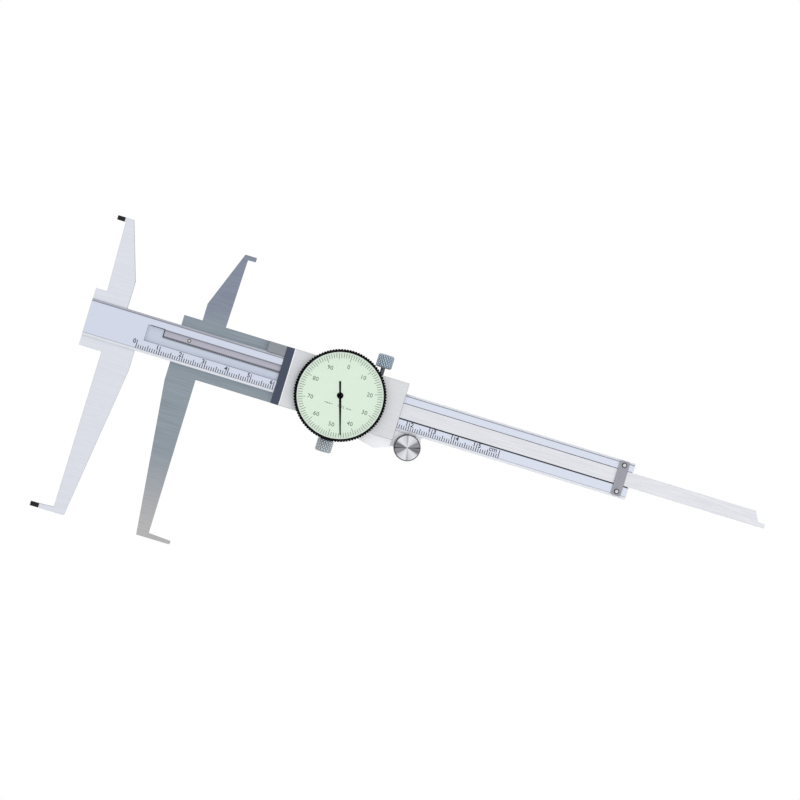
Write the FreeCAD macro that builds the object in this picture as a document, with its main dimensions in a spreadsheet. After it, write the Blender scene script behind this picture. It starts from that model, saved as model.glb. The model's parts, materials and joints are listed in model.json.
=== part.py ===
import FreeCAD, Part
import math
import operator
import os

import Sketcher
from FreeCAD import Placement, Rotation, Vector

# Inside groove dial caliper, 0 to 150 mm, 0.02 mm a division.
# Frame: +X runs along the beam towards the depth bar's end, +Y to the short jaws,
# +Z out of the dial. The origin is the middle of the beam's left end, the plane of
# the fixed tips. Lengths are in millimetres.

os.makedirs("parts", exist_ok=True)
doc = FreeCAD.newDocument("groove_caliper")
sheet = doc.addObject("Spreadsheet::Sheet", "Sizes")

OPERATIONS = {
    "+": operator.add,
    "-": operator.sub,
    "*": operator.mul,
    "/": operator.truediv,
    "%": operator.mod,
}


class Size:
    """A size of the caliper: its number, and the formula that ties it to the sheet."""

    def __init__(self, value, formula):
        self.value = value
        self.formula = formula

    def __add__(self, other):
        return combine(self, "+", other)

    def __radd__(self, other):
        return combine(other, "+", self)

    def __sub__(self, other):
        return combine(self, "-", other)

    def __rsub__(self, other):
        return combine(other, "-", self)

    def __mul__(self, other):
        return combine(self, "*", other)

    def __rmul__(self, other):
        return combine(other, "*", self)

    def __truediv__(self, other):
        return combine(self, "/", other)

    def __mod__(self, other):
        return combine(self, "%", other)

    def __neg__(self):
        return combine(0, "-", self)


def as_size(amount):
    if isinstance(amount, Size):
        return amount
    return Size(float(amount), repr(float(amount)))


def combine(left, sign, right):
    left = as_size(left)
    right = as_size(right)
    value = OPERATIONS[sign](left.value, right.value)
    return Size(value, f"({left.formula} {sign} {right.formula})")


def root_of(amount):
    return Size(math.sqrt(amount.value), f"sqrt({amount.formula})")


def size(name, value, note):
    """Write one driving dimension into the sheet and return it."""
    row = size.row
    size.row += 1
    sheet.set(f"A{row}", name)
    sheet.set(f"B{row}", str(value))
    sheet.set(f"C{row}", note)
    sheet.setAlias(f"B{row}", name)
    return Size(value, f"Sizes.{name}")


size.row = 1

# Reading and scale
READING = size("reading", 60.906, "distance between the tips at rest")
ZERO_X = size("zero_offset", 23.14, "scale zero from the tip plane")

# Clearances
RUN = size("running_gap", 0.1, "slider to beam, front and back")
SIDE_RUN = size("side_gap", 0.05, "slider to beam, at the edges")
FIT = size("shaft_fit", 0.05, "radial play of a turning shaft")
SNUG = size("snug_fit", 0.02, "gap where one piece is let into another")
EDGE_BREAK = size("edge_break", 0.2, "chamfer on sharp edges")

# Beam
BEAM_LENGTH = size("beam_length", 240.5, "beam, end to end")
BEAM_WIDTH = size("beam_width", 16.0, "beam, edge to edge")
BEAM_THICKNESS = size("beam_thickness", 4.0, "beam, front to back")
TOP_BEVEL = size("top_bevel", 0.9, "bevel width along the upper front edge")
BOTTOM_BEVEL = size("bottom_bevel", 1.2, "bevel width along the lower front edge")
BEVEL_DROP = size("bevel_drop", 0.5, "fall of both bevels")
GROOVE_LOW = size("groove_low", 2.65, "groove's lower wall below the centre line")
GROOVE_HIGH = size("groove_high", 4.0, "groove's upper wall above the centre line")
GROOVE_DEPTH = size("groove_depth", 2.4, "depth of the groove")
GROOVE_START = size("groove_start", 25.6, "groove's closed end from the tip plane")

# Jaws
JAW_THICKNESS = size("jaw_thickness", 2.5, "thickness of both jaw plates")
BLOCK_WIDTH = size("block_width", 25.0, "width of jaw block and slider")
TIP_TAPER = size("movable_tip_taper", 0.6, "the long movable tip thins by this to its end")

FIXED_UPPER = {
    "root": size("fixed_upper_root", 4.8, "short jaw's tip side"),
    "back": size("fixed_upper_back", 15.05, "short jaw's back"),
    "kink": size("fixed_upper_kink", 19.8, "height where the back starts to slant"),
    "neck": size("fixed_upper_neck", 6.9, "short jaw's back at the tip"),
    "throat": size("fixed_upper_throat", 3.8, "short jaw's tip side below the tip"),
    "reach": size("fixed_upper_reach", 44.5, "height of the short jaw"),
    "bar": size("fixed_upper_bar", 1.95, "height of the short tip"),
    "taper": size("fixed_upper_taper", 0.1, "the short tip thins by this to its end"),
}
FIXED_LOWER = {
    "root": size("fixed_lower_root", 9.9, "long jaw's tip side"),
    "kink": size("fixed_lower_kink", 16.8, "depth where the back starts to slant"),
    "neck": size("fixed_lower_neck", 14.8, "long jaw's back at the tip"),
    "throat": size("fixed_lower_throat", 9.9, "long jaw's tip side above the tip"),
    "reach": size("fixed_lower_reach", 83.1, "depth of the long jaw"),
    "bar": size("fixed_lower_bar", 2.25, "height of the long tip at its root"),
    "taper": size("fixed_lower_taper", 0.4, "the long tip thins by this to its end"),
}
MOVABLE_UPPER = {
    "root": size("movable_upper_root", 4.0, "short jaw's tip side"),
    "back": size("movable_upper_back", 14.3, "short jaw's back"),
    "kink": size("movable_upper_kink", 19.9, "height where the back starts to slant"),
    "neck": size("movable_upper_neck", 5.1, "short jaw's back at the tip"),
    "throat": size("movable_upper_throat", 3.4, "short jaw's tip side below the tip"),
    "reach": size("movable_upper_reach", 44.45, "height of the short jaw"),
    "bar": size("movable_upper_bar", 1.95, "height of the short tip"),
    "taper": size("movable_upper_taper", 0.15, "the short tip thins by this to its end"),
}
MOVABLE_LOWER = {
    "root": size("movable_lower_root", 9.8, "long jaw's tip side"),
    "kink": size("movable_lower_kink", 16.2, "depth where the back starts to slant"),
    "neck": size("movable_lower_neck", 14.7, "long jaw's back at the tip"),
    "throat": size("movable_lower_throat", 9.8, "long jaw's tip side above the tip"),
    "reach": size("movable_lower_reach", 82.3, "depth of the long jaw"),
    "bar": size("movable_lower_bar", 2.0, "height of the long tip at its root"),
    "taper": TIP_TAPER,
}
LOWER_JAW_GAP = size("lower_jaw_gap", 0.04, "fixed long jaw's back to the reading edge at zero")
MOVABLE_BACK = size("movable_block_back", 22.3, "movable block's back from its tips")
UPPER_INSERT = size("upper_insert", 3.3, "length of the hard tip, short jaw")
LOWER_INSERT = size("lower_insert", 3.6, "length of the hard tip, long jaw")

# Rack
RACK_PITCH = size("rack_pitch", 1.0, "tooth spacing")
RACK_START = size("rack_start", 32.6, "left end of the rack")
RACK_TEETH = size("rack_teeth", 165, "teeth on the rack")
RACK_WIDTH = size("rack_width", 3.35, "rack, tooth tips to back")
RACK_HEIGHT = size("rack_height", 1.0, "thickness of the rack")
RACK_SCREW_START = size("rack_screw_start", 11.3, "first rack screw from the rack's end")
RACK_SCREW_STEP = size("rack_screw_step", 142.0, "distance between rack screws")
RACK_SCREW_INSET = size("rack_screw_inset", 1.4, "rack screws from the groove's upper wall")
RACK_SCREW_COUNT = 2

# Stop plate
STOP_X = size("stop_inset", 6.76, "left side of the stop plate from the beam's end")
STOP_LENGTH = size("stop_length", 4.3, "stop plate along the beam")
STOP_HIGH = size("stop_high", 7.8, "stop plate's upper end")
STOP_LOW = size("stop_low", 7.4, "stop plate's lower end")
STOP_HEIGHT = size("stop_height", 0.9, "thickness of the stop plate")
STOP_CORNER = size("stop_corner", 0.8, "corner radius of the stop plate")
STOP_SCREW_HIGH = size("stop_screw_high", 6.0, "upper stop screw from the centre line")
STOP_SCREW_LOW = size("stop_screw_low", 5.6, "lower stop screw from the centre line")

# Slider
PLATE_LENGTH = size("front_plate_length", 53.95, "front plate along the beam")
PLATE_HEIGHT = size("front_plate_height", 2.5, "thickness of the front plate")
EDGE_BEVEL = size("edge_bevel", 3.5, "width of the bevel at the reading edge")
EDGE_LIP = size("edge_lip", 0.3, "height left at the reading edge")
RAIL_GAP = size("rail_gap", 0.3, "upper rail to the fixed short jaw at zero")
GIB_THICKNESS = size("gib_thickness", 0.95, "thickness of the gib strip")
GIB_HEIGHT = size("gib_height", 3.6, "gib strip, front to back")
GIB_END = size("gib_end", 1.0, "gib strip from the slider's ends")
GIB_SCREW_FIRST = size("gib_screw_first", 12.0, "first gib screw from the reading edge")
GIB_SCREW_SECOND = size("gib_screw_second", 30.0, "second gib screw from the reading edge")
REST_HEIGHT = size("rest_height", 3.2, "thickness of the thumb rest")
REST_START = size("rest_start", 35.8, "thumb rest's left end from the reading edge")
REST_SHOULDER = size("rest_shoulder", 40.0, "thumb rest's shoulder from the reading edge")
REST_LOWEST = size("rest_lowest", 47.4, "thumb rest's lowest point from the reading edge")
REST_SHOULDER_DROP = size("rest_shoulder_drop", 3.8, "drop of the shoulder below the slider")
REST_DROP = size("rest_drop", 5.5, "drop of the lowest point below the slider")
REST_END_DROP = size("rest_end_drop", 3.15, "drop of the right end below the slider")

# Depth bar
BAR_START = size("depth_bar_start", 22.3, "depth bar's inner end from the reading edge")
BAR_SIDE = size("depth_bar_side_gap", 0.15, "depth bar to the groove's walls")
BAR_HEIGHT = size("depth_bar_height", 1.2, "thickness of the depth bar")
NIB_LENGTH = size("nib_length", 3.2, "length of the foot at the depth bar's end")
NIB_WIDTH = size("nib_width", 2.0, "width of the foot")
NIB_SLANT = size("nib_slant", 2.2, "slant of the depth bar's end behind the foot")

# Dial
DIAL_OFFSET = size("dial_offset", 27.1, "dial centre from the reading edge")
DIAL_DROP = size("dial_drop", 0.9, "dial centre below the centre line")
CASE_RADIUS = size("case_radius", 16.5, "outside of the case wall")
CASE_WALL = size("case_wall", 1.2, "thickness of the case wall")
CASE_FLOOR = size("case_floor", 0.8, "thickness of the case floor")
CASE_HEIGHT = size("case_height", 3.9, "case, floor to rim")
FLANGE_RADIUS = size("flange_radius", 18.8, "case flange under the bezel")
BEZEL_RADIUS = size("bezel_radius", 19.6, "bezel over the knurl")
BEZEL_HEIGHT = size("bezel_height", 6.0, "bezel, bottom to top")
BEZEL_CHAMFER = size("bezel_chamfer", 0.4, "taper of the bezel's rim above the knurl")
BEZEL_FOOT = size("bezel_foot", 0.5, "knurl above the bezel's bottom")
WINDOW_RADIUS = size("window_radius", 18.3, "bezel's inner edge at the window")
SEAT_HEIGHT = size("dial_seat_height", 3.3, "dial's seat above the bezel's bottom")
KNURL_COUNT = size("knurl_count", 100, "ridges round the bezel")
KNURL_DEPTH = size("knurl_depth", 0.55, "height of a ridge")
KNURL_HEIGHT = size("knurl_height", 4.6, "knurl along the bezel's axis")
FACE_HEIGHT = size("dial_face_height", 0.3, "thickness of the dial face")
FACE_HOLE = size("dial_face_hole", 1.0, "radius of the hole in the dial face")
CRYSTAL_HEIGHT = size("crystal_height", 0.8, "thickness of the crystal")
CRYSTAL_DROP = size("crystal_drop", 0.3, "crystal below the bezel's top")

# Gear train: 10 teeth on the rack, 50 to 10 on to the hand, 2 mm a turn
RACK_PINION_TEETH = size("rack_pinion_teeth", 10, "teeth of the rack pinion")
WHEEL_TEETH = size("wheel_teeth", 50, "teeth of the drive wheel")
CENTRE_TEETH = size("centre_teeth", 10, "teeth of the centre pinion")
TRAIN_MODULE = size("train_module", 0.24, "module of drive wheel and centre pinion")
BACKLASH = size("backlash", 0.05, "play between two teeth")
WHEEL_HEIGHT = size("wheel_height", 0.6, "thickness of the drive wheel")
WHEEL_LIFT = size("wheel_lift", 0.5, "drive wheel above the case floor")
ARBOR_RADIUS = size("arbor_radius", 0.6, "arbors at the wheels")
PIVOT_RADIUS = size("pivot_radius", 0.4, "arbor ends")
PINION_LIFT = size("pinion_lift", 0.15, "rack pinion above the groove's floor")
BRIDGE_HEIGHT = size("bridge_height", 0.7, "thickness of the bridge")
BRIDGE_LIFT = size("bridge_lift", 2.2, "bridge above the case floor")
BRIDGE_HALF = size("bridge_half", 10.0, "bridge from the centre to its ends")
BRIDGE_END = size("bridge_end", 2.6, "half width of the bridge's ends")
PILLAR_OFFSET = size("pillar_offset", 8.2, "bridge pillars from the centre")
PILLAR_RADIUS = size("pillar_radius", 1.5, "radius of a pillar")

# Hand
TURN = size("hand_turn", 2.0, "travel of the slider in one turn of the hand")
HAND_LIFT = size("hand_lift", 0.45, "hand above the dial face")
HAND_HEIGHT = size("hand_height", 0.25, "thickness of the hand")
HUB_RADIUS = size("hub_radius", 1.33, "radius of the hand's hub")
HUB_HEIGHT = size("hub_height", 0.6, "height of the hub")
HAND_REACH = size("hand_reach", 16.6, "hand from centre to point")
HAND_TAIL = size("hand_tail", 6.05, "hand from centre to tail")
HAND_WIDTH = size("hand_width", 1.45, "hand's width at the tail")
HAND_POINT = size("hand_point", 0.55, "hand's width at the point")

# Thumb screws and roller
HEAD_RADIUS = size("thumb_head_radius", 3.5, "radius of both thumb screw heads")
HEAD_LENGTH = size("thumb_head_length", 5.75, "length of both heads")
HEAD_EDGE = size("thumb_head_edge", 0.6, "chamfer of the heads")
SHANK_RADIUS = size("thumb_shank_radius", 0.95, "radius of both shanks")
LOCK_OFFSET = size("lock_offset", 41.5, "lock screw from the reading edge")
LOCK_STAND = size("lock_stand", 3.1, "lock screw's head off the slider")
CLAMP_LEVEL = size("clamp_level", 1.8, "height of the clamp screw's axis")
CLAMP_HEAD_Y = size("clamp_head_y", 20.05, "clamp screw's head below the centre line")
LUG_HALF = size("lug_half", 3.2, "half width of the clamp lug")
BRAKE_RADIUS = size("brake_radius", 0.8, "radius of the brake pin")
BRAKE_OFFSET = size("brake_offset", 17.6, "brake pin from the dial centre")
CLAMP_PAST = size("clamp_past_pin", 2.4, "clamp screw's end past the brake pin's axis")
ROLLER_OFFSET = size("roller_offset", 60.95, "roller axis from the reading edge")
ROLLER_RADIUS = size("roller_radius", 5.7, "radius of the thumb roller")
ROLLER_HEIGHT = size("roller_height", 4.4, "thickness of the thumb roller")
ROLLER_EDGE = size("roller_edge", 0.5, "chamfer of the thumb roller")
ROLLER_GAP = size("roller_gap", 0.1, "roller to the beam's edge")
AXLE_RADIUS = size("axle_radius", 1.5, "radius of the roller's axle")
AXLE_REACH = size("axle_reach", 2.2, "axle inside the roller")
BRACKET_HEIGHT = size("bracket_height", 1.4, "thickness of the roller bracket")
BRACKET_END = size("bracket_end", 5.1, "bracket past the roller's axis")
BRACKET_DROP = size("bracket_drop", 7.0, "bracket below the beam's edge")
BRACKET_CORNER = size("bracket_corner", 1.6, "bracket's cut corner")
TONGUE = size("bracket_tongue", 8.0, "bracket's tongue inside the lower rail")

# Small screws
SCREW_RADIUS = size("screw_radius", 0.8, "radius of the gib screws")
SCREW_HEAD = size("screw_head", 1.6, "radius of the slider's screws")
RACK_SCREW_RADIUS = size("rack_screw_radius", 0.8, "radius of the rack screws")
SLOT_WIDTH = size("slot_width", 0.25, "screw slot")
SLOT_DEPTH = size("slot_depth", 0.25, "depth of a screw slot")
STOP_HEAD = size("stop_screw_head", 1.1, "head radius of the stop screws")
STOP_HEAD_HEIGHT = size("stop_screw_height", 0.5, "height of the stop screws' heads")
END_INSET = size("slider_screw_inset", 6.0, "slider screws from the slider's ends")

# Places worked out from the sizes above
BEAM_HALF = BEAM_WIDTH / 2
BEAM_FRONT = BEAM_THICKNESS / 2
BEAM_BACK = -BEAM_FRONT
GROOVE_FLOOR = BEAM_FRONT - GROOVE_DEPTH
BLOCK_HALF = BLOCK_WIDTH / 2
SLIDER_BACK = BEAM_BACK - RUN - JAW_THICKNESS
RAIL_BACK = BEAM_BACK - RUN
PLATE_BACK = BEAM_FRONT + RUN
PLATE_FRONT = PLATE_BACK + PLATE_HEIGHT
RAIL_HEIGHT = PLATE_BACK - RAIL_BACK
RAIL_INNER = BEAM_HALF + SIDE_RUN
EDGE_X = ZERO_X + READING
SLIDER_END = EDGE_X + PLATE_LENGTH
DIAL_X = EDGE_X + DIAL_OFFSET
DIAL_Y = -DIAL_DROP
FLOOR_TOP = PLATE_FRONT + CASE_FLOOR
BEZEL_BOTTOM = FLOOR_TOP + RUN
BEZEL_TOP = BEZEL_BOTTOM + BEZEL_HEIGHT
FACE_BOTTOM = BEZEL_BOTTOM + SEAT_HEIGHT
FACE_TOP = FACE_BOTTOM + FACE_HEIGHT
HAND_BOTTOM = FACE_TOP + HAND_LIFT
WHEEL_BOTTOM = FLOOR_TOP + WHEEL_LIFT
WHEEL_TOP = WHEEL_BOTTOM + WHEEL_HEIGHT
BRIDGE_BOTTOM = FLOOR_TOP + BRIDGE_LIFT
BRIDGE_TOP = BRIDGE_BOTTOM + BRIDGE_HEIGHT
RACK_TOP = GROOVE_FLOOR + RACK_HEIGHT
BAR_BOTTOM = RACK_TOP + RUN
BAR_TOP = BAR_BOTTOM + BAR_HEIGHT
GIB_OUTER = RAIL_INNER + GIB_THICKNESS
RAIL_LEAD = ZERO_X - FIXED_UPPER["back"] - RAIL_GAP
LOCK_X = EDGE_X + LOCK_OFFSET
ROLLER_X = EDGE_X + ROLLER_OFFSET
ROLLER_Y = -(BEAM_HALF + ROLLER_GAP + ROLLER_RADIUS)
BRACKET_TOP = RAIL_BACK + BRACKET_HEIGHT

# Gear geometry: the rack's module follows from its pitch
RACK_MODULE = RACK_PITCH / math.pi
RACK_PITCH_LINE = GROOVE_HIGH - RACK_WIDTH + RACK_MODULE
PINION_RADIUS = RACK_MODULE * RACK_PINION_TEETH / 2
PINION_Y = RACK_PITCH_LINE - PINION_RADIUS
TRAIN_CENTRES = TRAIN_MODULE * (WHEEL_TEETH + CENTRE_TEETH) / 2
TRAIN_RISE = PINION_Y - DIAL_Y
TRAIN_RUN = root_of(TRAIN_CENTRES * TRAIN_CENTRES - TRAIN_RISE * TRAIN_RISE)
PINION_X = DIAL_X - TRAIN_RUN
PRESSURE_ANGLE = math.radians(20)
DEDENDUM = 1.25

SMALLEST_CUT = 1e-4
SAME_PLACE = 1e-3
SAME_LEVEL = 1e-4
FULL_TURN = math.degrees(2 * math.pi)
QUARTER_TURN = FULL_TURN / 4
PAST = size("past", 1.0, "how far a cut runs past the face it opens")

pieces = []


def keep(item, name):
    """Name a finished piece, and list it for the checks and the files."""
    item.Label = name
    pieces.append(item)
    return item


def bind(item, **formulas):
    """Tie properties to sizes: one underscore pair stands for the dot in a path."""
    for path, amount in formulas.items():
        item.setExpression(path.replace("__", "."), as_size(amount).formula)


def place(item, x, y, z):
    bind(item, Placement__Base__x=x, Placement__Base__y=y, Placement__Base__z=z)


def settle():
    doc.recompute()


def make_body(name):
    return doc.addObject("PartDesign::Body", name)


def new_sketch(body, name, plane, level):
    """Empty sketch on one of the body's own planes, lifted by level."""
    sketch = body.newObject("Sketcher::SketchObject", name)
    for feature in body.Origin.OriginFeatures:
        if feature.Role == plane:
            sketch.AttachmentSupport = [(feature, "")]
    sketch.MapMode = "FlatFace"
    bind(sketch, AttachmentOffset__Base__z=level)
    return sketch


POINT_NAMES = ("start", "end", "centre")


def point_number(name):
    """A sketch counts the points of its lines and circles from one."""
    return POINT_NAMES.index(name) + 1


def pin_point(sketch, line, point, x, y):
    """Hold one point of a sketch at its distances from the origin."""
    origin = point_number("start")
    number = point_number(point)
    for kind, amount in (("DistanceX", as_size(x)), ("DistanceY", as_size(y))):
        rule = sketch.addConstraint(
            Sketcher.Constraint(kind, -1, origin, line, number, amount.value)
        )
        sketch.setExpression(f"Constraints[{rule}]", amount.formula)


def outline(body, name, corners, plane="XY_Plane", level=0):
    """Closed straight-sided outline through the corners."""
    sketch = new_sketch(body, name, plane, level)
    points = [Vector(as_size(x).value, as_size(y).value, 0) for x, y in corners]
    count = len(points)
    for index in range(count):
        following = points[(index + 1) % count]
        sketch.addGeometry(Part.LineSegment(points[index], following), False)
    for index in range(count):
        following = (index + 1) % count
        end = point_number("end")
        start = point_number("start")
        joint = Sketcher.Constraint("Coincident", index, end, following, start)
        sketch.addConstraint(joint)
    for index, (x, y) in enumerate(corners):
        pin_point(sketch, index, "start", x, y)
    return sketch


def rectangle(body, name, left, right, low, high, plane="XY_Plane", level=0):
    corners = [(left, low), (right, low), (right, high), (left, high)]
    return outline(body, name, corners, plane, level)


def circles(body, name, centres, radius, plane="XY_Plane", level=0):
    """Equal circles about the given centres."""
    sketch = new_sketch(body, name, plane, level)
    radius = as_size(radius)
    for index, (x, y) in enumerate(centres):
        centre = Vector(as_size(x).value, as_size(y).value, 0)
        circle = Part.Circle(centre, Vector(0, 0, 1), radius.value)
        sketch.addGeometry(circle, False)
        pin_point(sketch, index, "centre", x, y)
        rule = sketch.addConstraint(Sketcher.Constraint("Radius", index, radius.value))
        sketch.setExpression(f"Constraints[{rule}]", radius.formula)
    return sketch


def pad(body, sketch, length, reverse=False, midplane=False):
    """Raise a sketch into the solid."""
    feature = body.newObject("PartDesign::Pad", sketch.Name + "_pad")
    feature.Profile = sketch
    bind(feature, Length=length)
    feature.Reversed = reverse
    feature.Midplane = midplane
    settle()
    return feature


def cut(body, sketch, depth, reverse=False):
    """Cut a sketch out of the solid, and make sure that it took something away."""
    before = body.Shape.Volume
    feature = body.newObject("PartDesign::Pocket", sketch.Name + "_cut")
    feature.Profile = sketch
    bind(feature, Length=depth)
    feature.Reversed = reverse
    settle()
    if before - body.Shape.Volume < SMALLEST_CUT:
        raise RuntimeError(f"{sketch.Name} cuts nothing")
    return feature


def edges_where(shape, wanted):
    names = []
    for number, edge in enumerate(shape.Edges, start=1):
        if wanted(edge):
            names.append(f"Edge{number}")
    return names


def on_level(level):
    """Test for edges that lie flat at one height."""
    height = as_size(level).value

    def test(edge):
        box = edge.BoundBox
        return abs(box.ZMin - height) < SAME_LEVEL and abs(box.ZMax - height) < SAME_LEVEL

    return test


def upright_at(corners):
    """Test for upright edges over the given corners."""
    places = [(as_size(x).value, as_size(y).value) for x, y in corners]

    def test(edge):
        box = edge.BoundBox
        if box.ZLength < max(box.XLength, box.YLength, SAME_PLACE):
            return False
        return any(
            abs(box.XMin - x) < SAME_PLACE and abs(box.YMin - y) < SAME_PLACE
            for x, y in places
        )

    return test


def soften(body, kind, amount, wanted):
    """Fillet or chamfer the wanted edges of a body."""
    tip = body.Tip
    names = edges_where(tip.Shape, wanted)
    if not names:
        raise RuntimeError(f"no edge of {body.Name} to soften")
    feature = body.newObject("PartDesign::" + kind, body.Name + "_" + kind.lower())
    feature.Base = (tip, names)
    if kind == "Fillet":
        bind(feature, Radius=amount)
    else:
        bind(feature, Size=amount)
    settle()
    return feature


def turned(name, profile, x=0, y=0, z=0, along=None):
    """Solid of revolution from (radius, height) corners, stood at a place."""
    body = make_body(name)
    sketch = outline(body, name + "_profile", profile, plane="XZ_Plane")
    feature = body.newObject("PartDesign::Revolution", name + "_turn")
    feature.Profile = sketch
    feature.ReferenceAxis = (sketch, ["V_Axis"])
    feature.Angle = FULL_TURN
    if along is not None:
        body.Placement = Placement(Vector(), Rotation(Vector(0, 0, 1), along))
    place(body, x, y, z)
    settle()
    return body


def group(name, items):
    """Equal fasteners kept together as one piece of the list."""
    bundle = doc.addObject("Part::Compound", name)
    bundle.Links = items
    settle()
    return keep(bundle, name)


def slot_cut(body, level, reach):
    """Screwdriver slot across a head."""
    half = SLOT_WIDTH / 2
    slot = rectangle(body, body.Name + "_slot", -reach, reach, -half, half, level=level)
    cut(body, slot, SLOT_DEPTH)


def slotted_screw(name, x, y, top, length, radius, along=Vector(0, 0, 1)):
    """Slotted screw that ends at its place; along is the way its slot faces."""
    screw = turned(name, [(0, -length), (radius, -length), (radius, 0), (0, 0)], x, y, top, along)
    slot_cut(screw, 0, radius + SLOT_WIDTH)
    return screw


def jaw_arm(tip, side, jaw, bar_end, up):
    """Corners of one jaw, from its tip side at the block out to its back at the kink."""
    bar_root = jaw["reach"] - jaw["bar"]
    corners = [
        (tip + side * jaw["root"], up * BLOCK_HALF),
        (tip + side * jaw["throat"], up * bar_root),
        (tip + side * bar_end, up * (bar_root + jaw["taper"])),
        (tip + side * bar_end, up * jaw["reach"]),
        (tip + side * jaw["neck"], up * jaw["reach"]),
        (tip + side * jaw["back"], up * jaw["kink"]),
    ]
    return corners


def main_beam():
    """Ground bar: bevelled front edges, long groove, and a rebate for the jaw plate."""
    body = make_body("main_beam")
    section = [
        (-BEAM_HALF, BEAM_BACK),
        (BEAM_HALF, BEAM_BACK),
        (BEAM_HALF, BEAM_FRONT - BEVEL_DROP),
        (BEAM_HALF - TOP_BEVEL, BEAM_FRONT),
        (BOTTOM_BEVEL - BEAM_HALF, BEAM_FRONT),
        (-BEAM_HALF, BEAM_FRONT - BEVEL_DROP),
    ]
    pad(body, outline(body, "beam_section", section, plane="YZ_Plane"), BEAM_LENGTH)
    groove = rectangle(
        body, "groove", GROOVE_START, BEAM_LENGTH + PAST, -GROOVE_LOW, GROOVE_HIGH,
        level=BEAM_FRONT,
    )
    cut(body, groove, GROOVE_DEPTH)
    wide = BEAM_HALF + PAST
    rebate = rectangle(
        body, "jaw_rebate", -PAST, ZERO_X - LOWER_JAW_GAP + SNUG, -wide, wide, level=BEAM_BACK,
    )
    cut(body, rebate, JAW_THICKNESS, reverse=True)
    keep(body, "main_beam")


def fixed_jaw_plate():
    """Short and long fixed jaws in one plate, crossing behind the beam's end."""
    body = make_body("fixed_jaw_plate")
    tip = as_size(0)
    lower = dict(FIXED_LOWER, back=ZERO_X - LOWER_JAW_GAP)
    upper_arm = jaw_arm(tip, 1, FIXED_UPPER, UPPER_INSERT + SNUG, 1)
    lower_arm = jaw_arm(tip, 1, lower, LOWER_INSERT + SNUG, -1)
    corners = [(tip, -BLOCK_HALF), (tip, BLOCK_HALF)] + upper_arm
    corners += [(FIXED_UPPER["back"], BEAM_HALF), (lower["back"], BEAM_HALF)]
    corners += list(reversed(lower_arm))
    pad(body, outline(body, "fixed_jaws", corners, level=BEAM_BACK), JAW_THICKNESS)
    keep(body, "fixed_jaw_plate")


def fixed_jaw_tips():
    """Hard tips brazed to the ends of both fixed jaws."""
    tips = []
    high = FIXED_UPPER["bar"] - FIXED_UPPER["taper"]
    deep = FIXED_LOWER["bar"] - FIXED_LOWER["taper"]
    places = (
        ("upper_tip", UPPER_INSERT, FIXED_UPPER["reach"] - high, high),
        ("lower_tip", LOWER_INSERT, -FIXED_LOWER["reach"], deep),
    )
    for name, length, low, height in places:
        tip = doc.addObject("Part::Box", name)
        bind(tip, Length=length, Width=height, Height=JAW_THICKNESS)
        place(tip, 0, low, BEAM_BACK)
        tips.append(tip)
    group("fixed_jaw_tips", tips)


def rack_screw_places():
    height = GROOVE_HIGH - RACK_SCREW_INSET
    first = RACK_START + RACK_SCREW_START
    return [(first + RACK_SCREW_STEP * number, height) for number in range(RACK_SCREW_COUNT)]


def rack():
    """Rack strip against the groove's upper wall, its teeth facing down."""
    body = make_body("rack")
    tips = GROOVE_HIGH - RACK_WIDTH
    length = RACK_PITCH * RACK_TEETH
    strip = rectangle(
        body, "rack_strip", RACK_START, RACK_START + length, tips, GROOVE_HIGH,
        level=GROOVE_FLOOR,
    )
    pad(body, strip, RACK_HEIGHT)
    tip_flare = RACK_MODULE * math.tan(PRESSURE_ANGLE)
    root_flare = RACK_MODULE * DEDENDUM * math.tan(PRESSURE_ANGLE)
    half = (RACK_PITCH / 2 + BACKLASH) / 2
    middle = RACK_START + RACK_PITCH / 2
    root = RACK_PITCH_LINE + RACK_MODULE * DEDENDUM
    gap = outline(body, "tooth_gap", [
        (middle - half - tip_flare, tips),
        (middle + half + tip_flare, tips),
        (middle + half - root_flare, root),
        (middle - half + root_flare, root),
    ], level=RACK_TOP)
    first_gap = cut(body, gap, RACK_HEIGHT)
    pattern = body.newObject("PartDesign::LinearPattern", "rack_teeth_pattern")
    pattern.Originals = [first_gap]
    pattern.Direction = (gap, ["H_Axis"])
    bind(pattern, Length=length - RACK_PITCH, Occurrences=RACK_TEETH)
    body.Tip = pattern
    settle()
    holes = circles(body, "rack_screw_seats", rack_screw_places(), RACK_SCREW_RADIUS, level=RACK_TOP)
    cut(body, holes, RACK_HEIGHT)
    keep(body, "rack")


def rack_screws():
    screws = []
    for number, (x, y) in enumerate(rack_screw_places()):
        name = f"rack_screw_{number}"
        screws.append(slotted_screw(name, x, y, RACK_TOP, RACK_HEIGHT, RACK_SCREW_RADIUS))
    group("rack_screws", screws)


def stop_screw_places():
    middle = BEAM_LENGTH - STOP_X + STOP_LENGTH / 2
    return [(middle, STOP_SCREW_HIGH), (middle, -STOP_SCREW_LOW)]


def stop_plate():
    """Plate across the beam that keeps the slider on."""
    body = make_body("stop_plate")
    left = BEAM_LENGTH - STOP_X
    right = left + STOP_LENGTH
    face = rectangle(body, "stop_face", left, right, -STOP_LOW, STOP_HIGH, level=BEAM_FRONT)
    pad(body, face, STOP_HEIGHT)
    corners = [(x, y) for x in (left, right) for y in (-STOP_LOW, STOP_HIGH)]
    soften(body, "Fillet", STOP_CORNER, upright_at(corners))
    holes = circles(
        body, "stop_plate_holes", stop_screw_places(), STOP_HEAD, level=BEAM_FRONT + STOP_HEIGHT,
    )
    cut(body, holes, STOP_HEIGHT)
    keep(body, "stop_plate")


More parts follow.
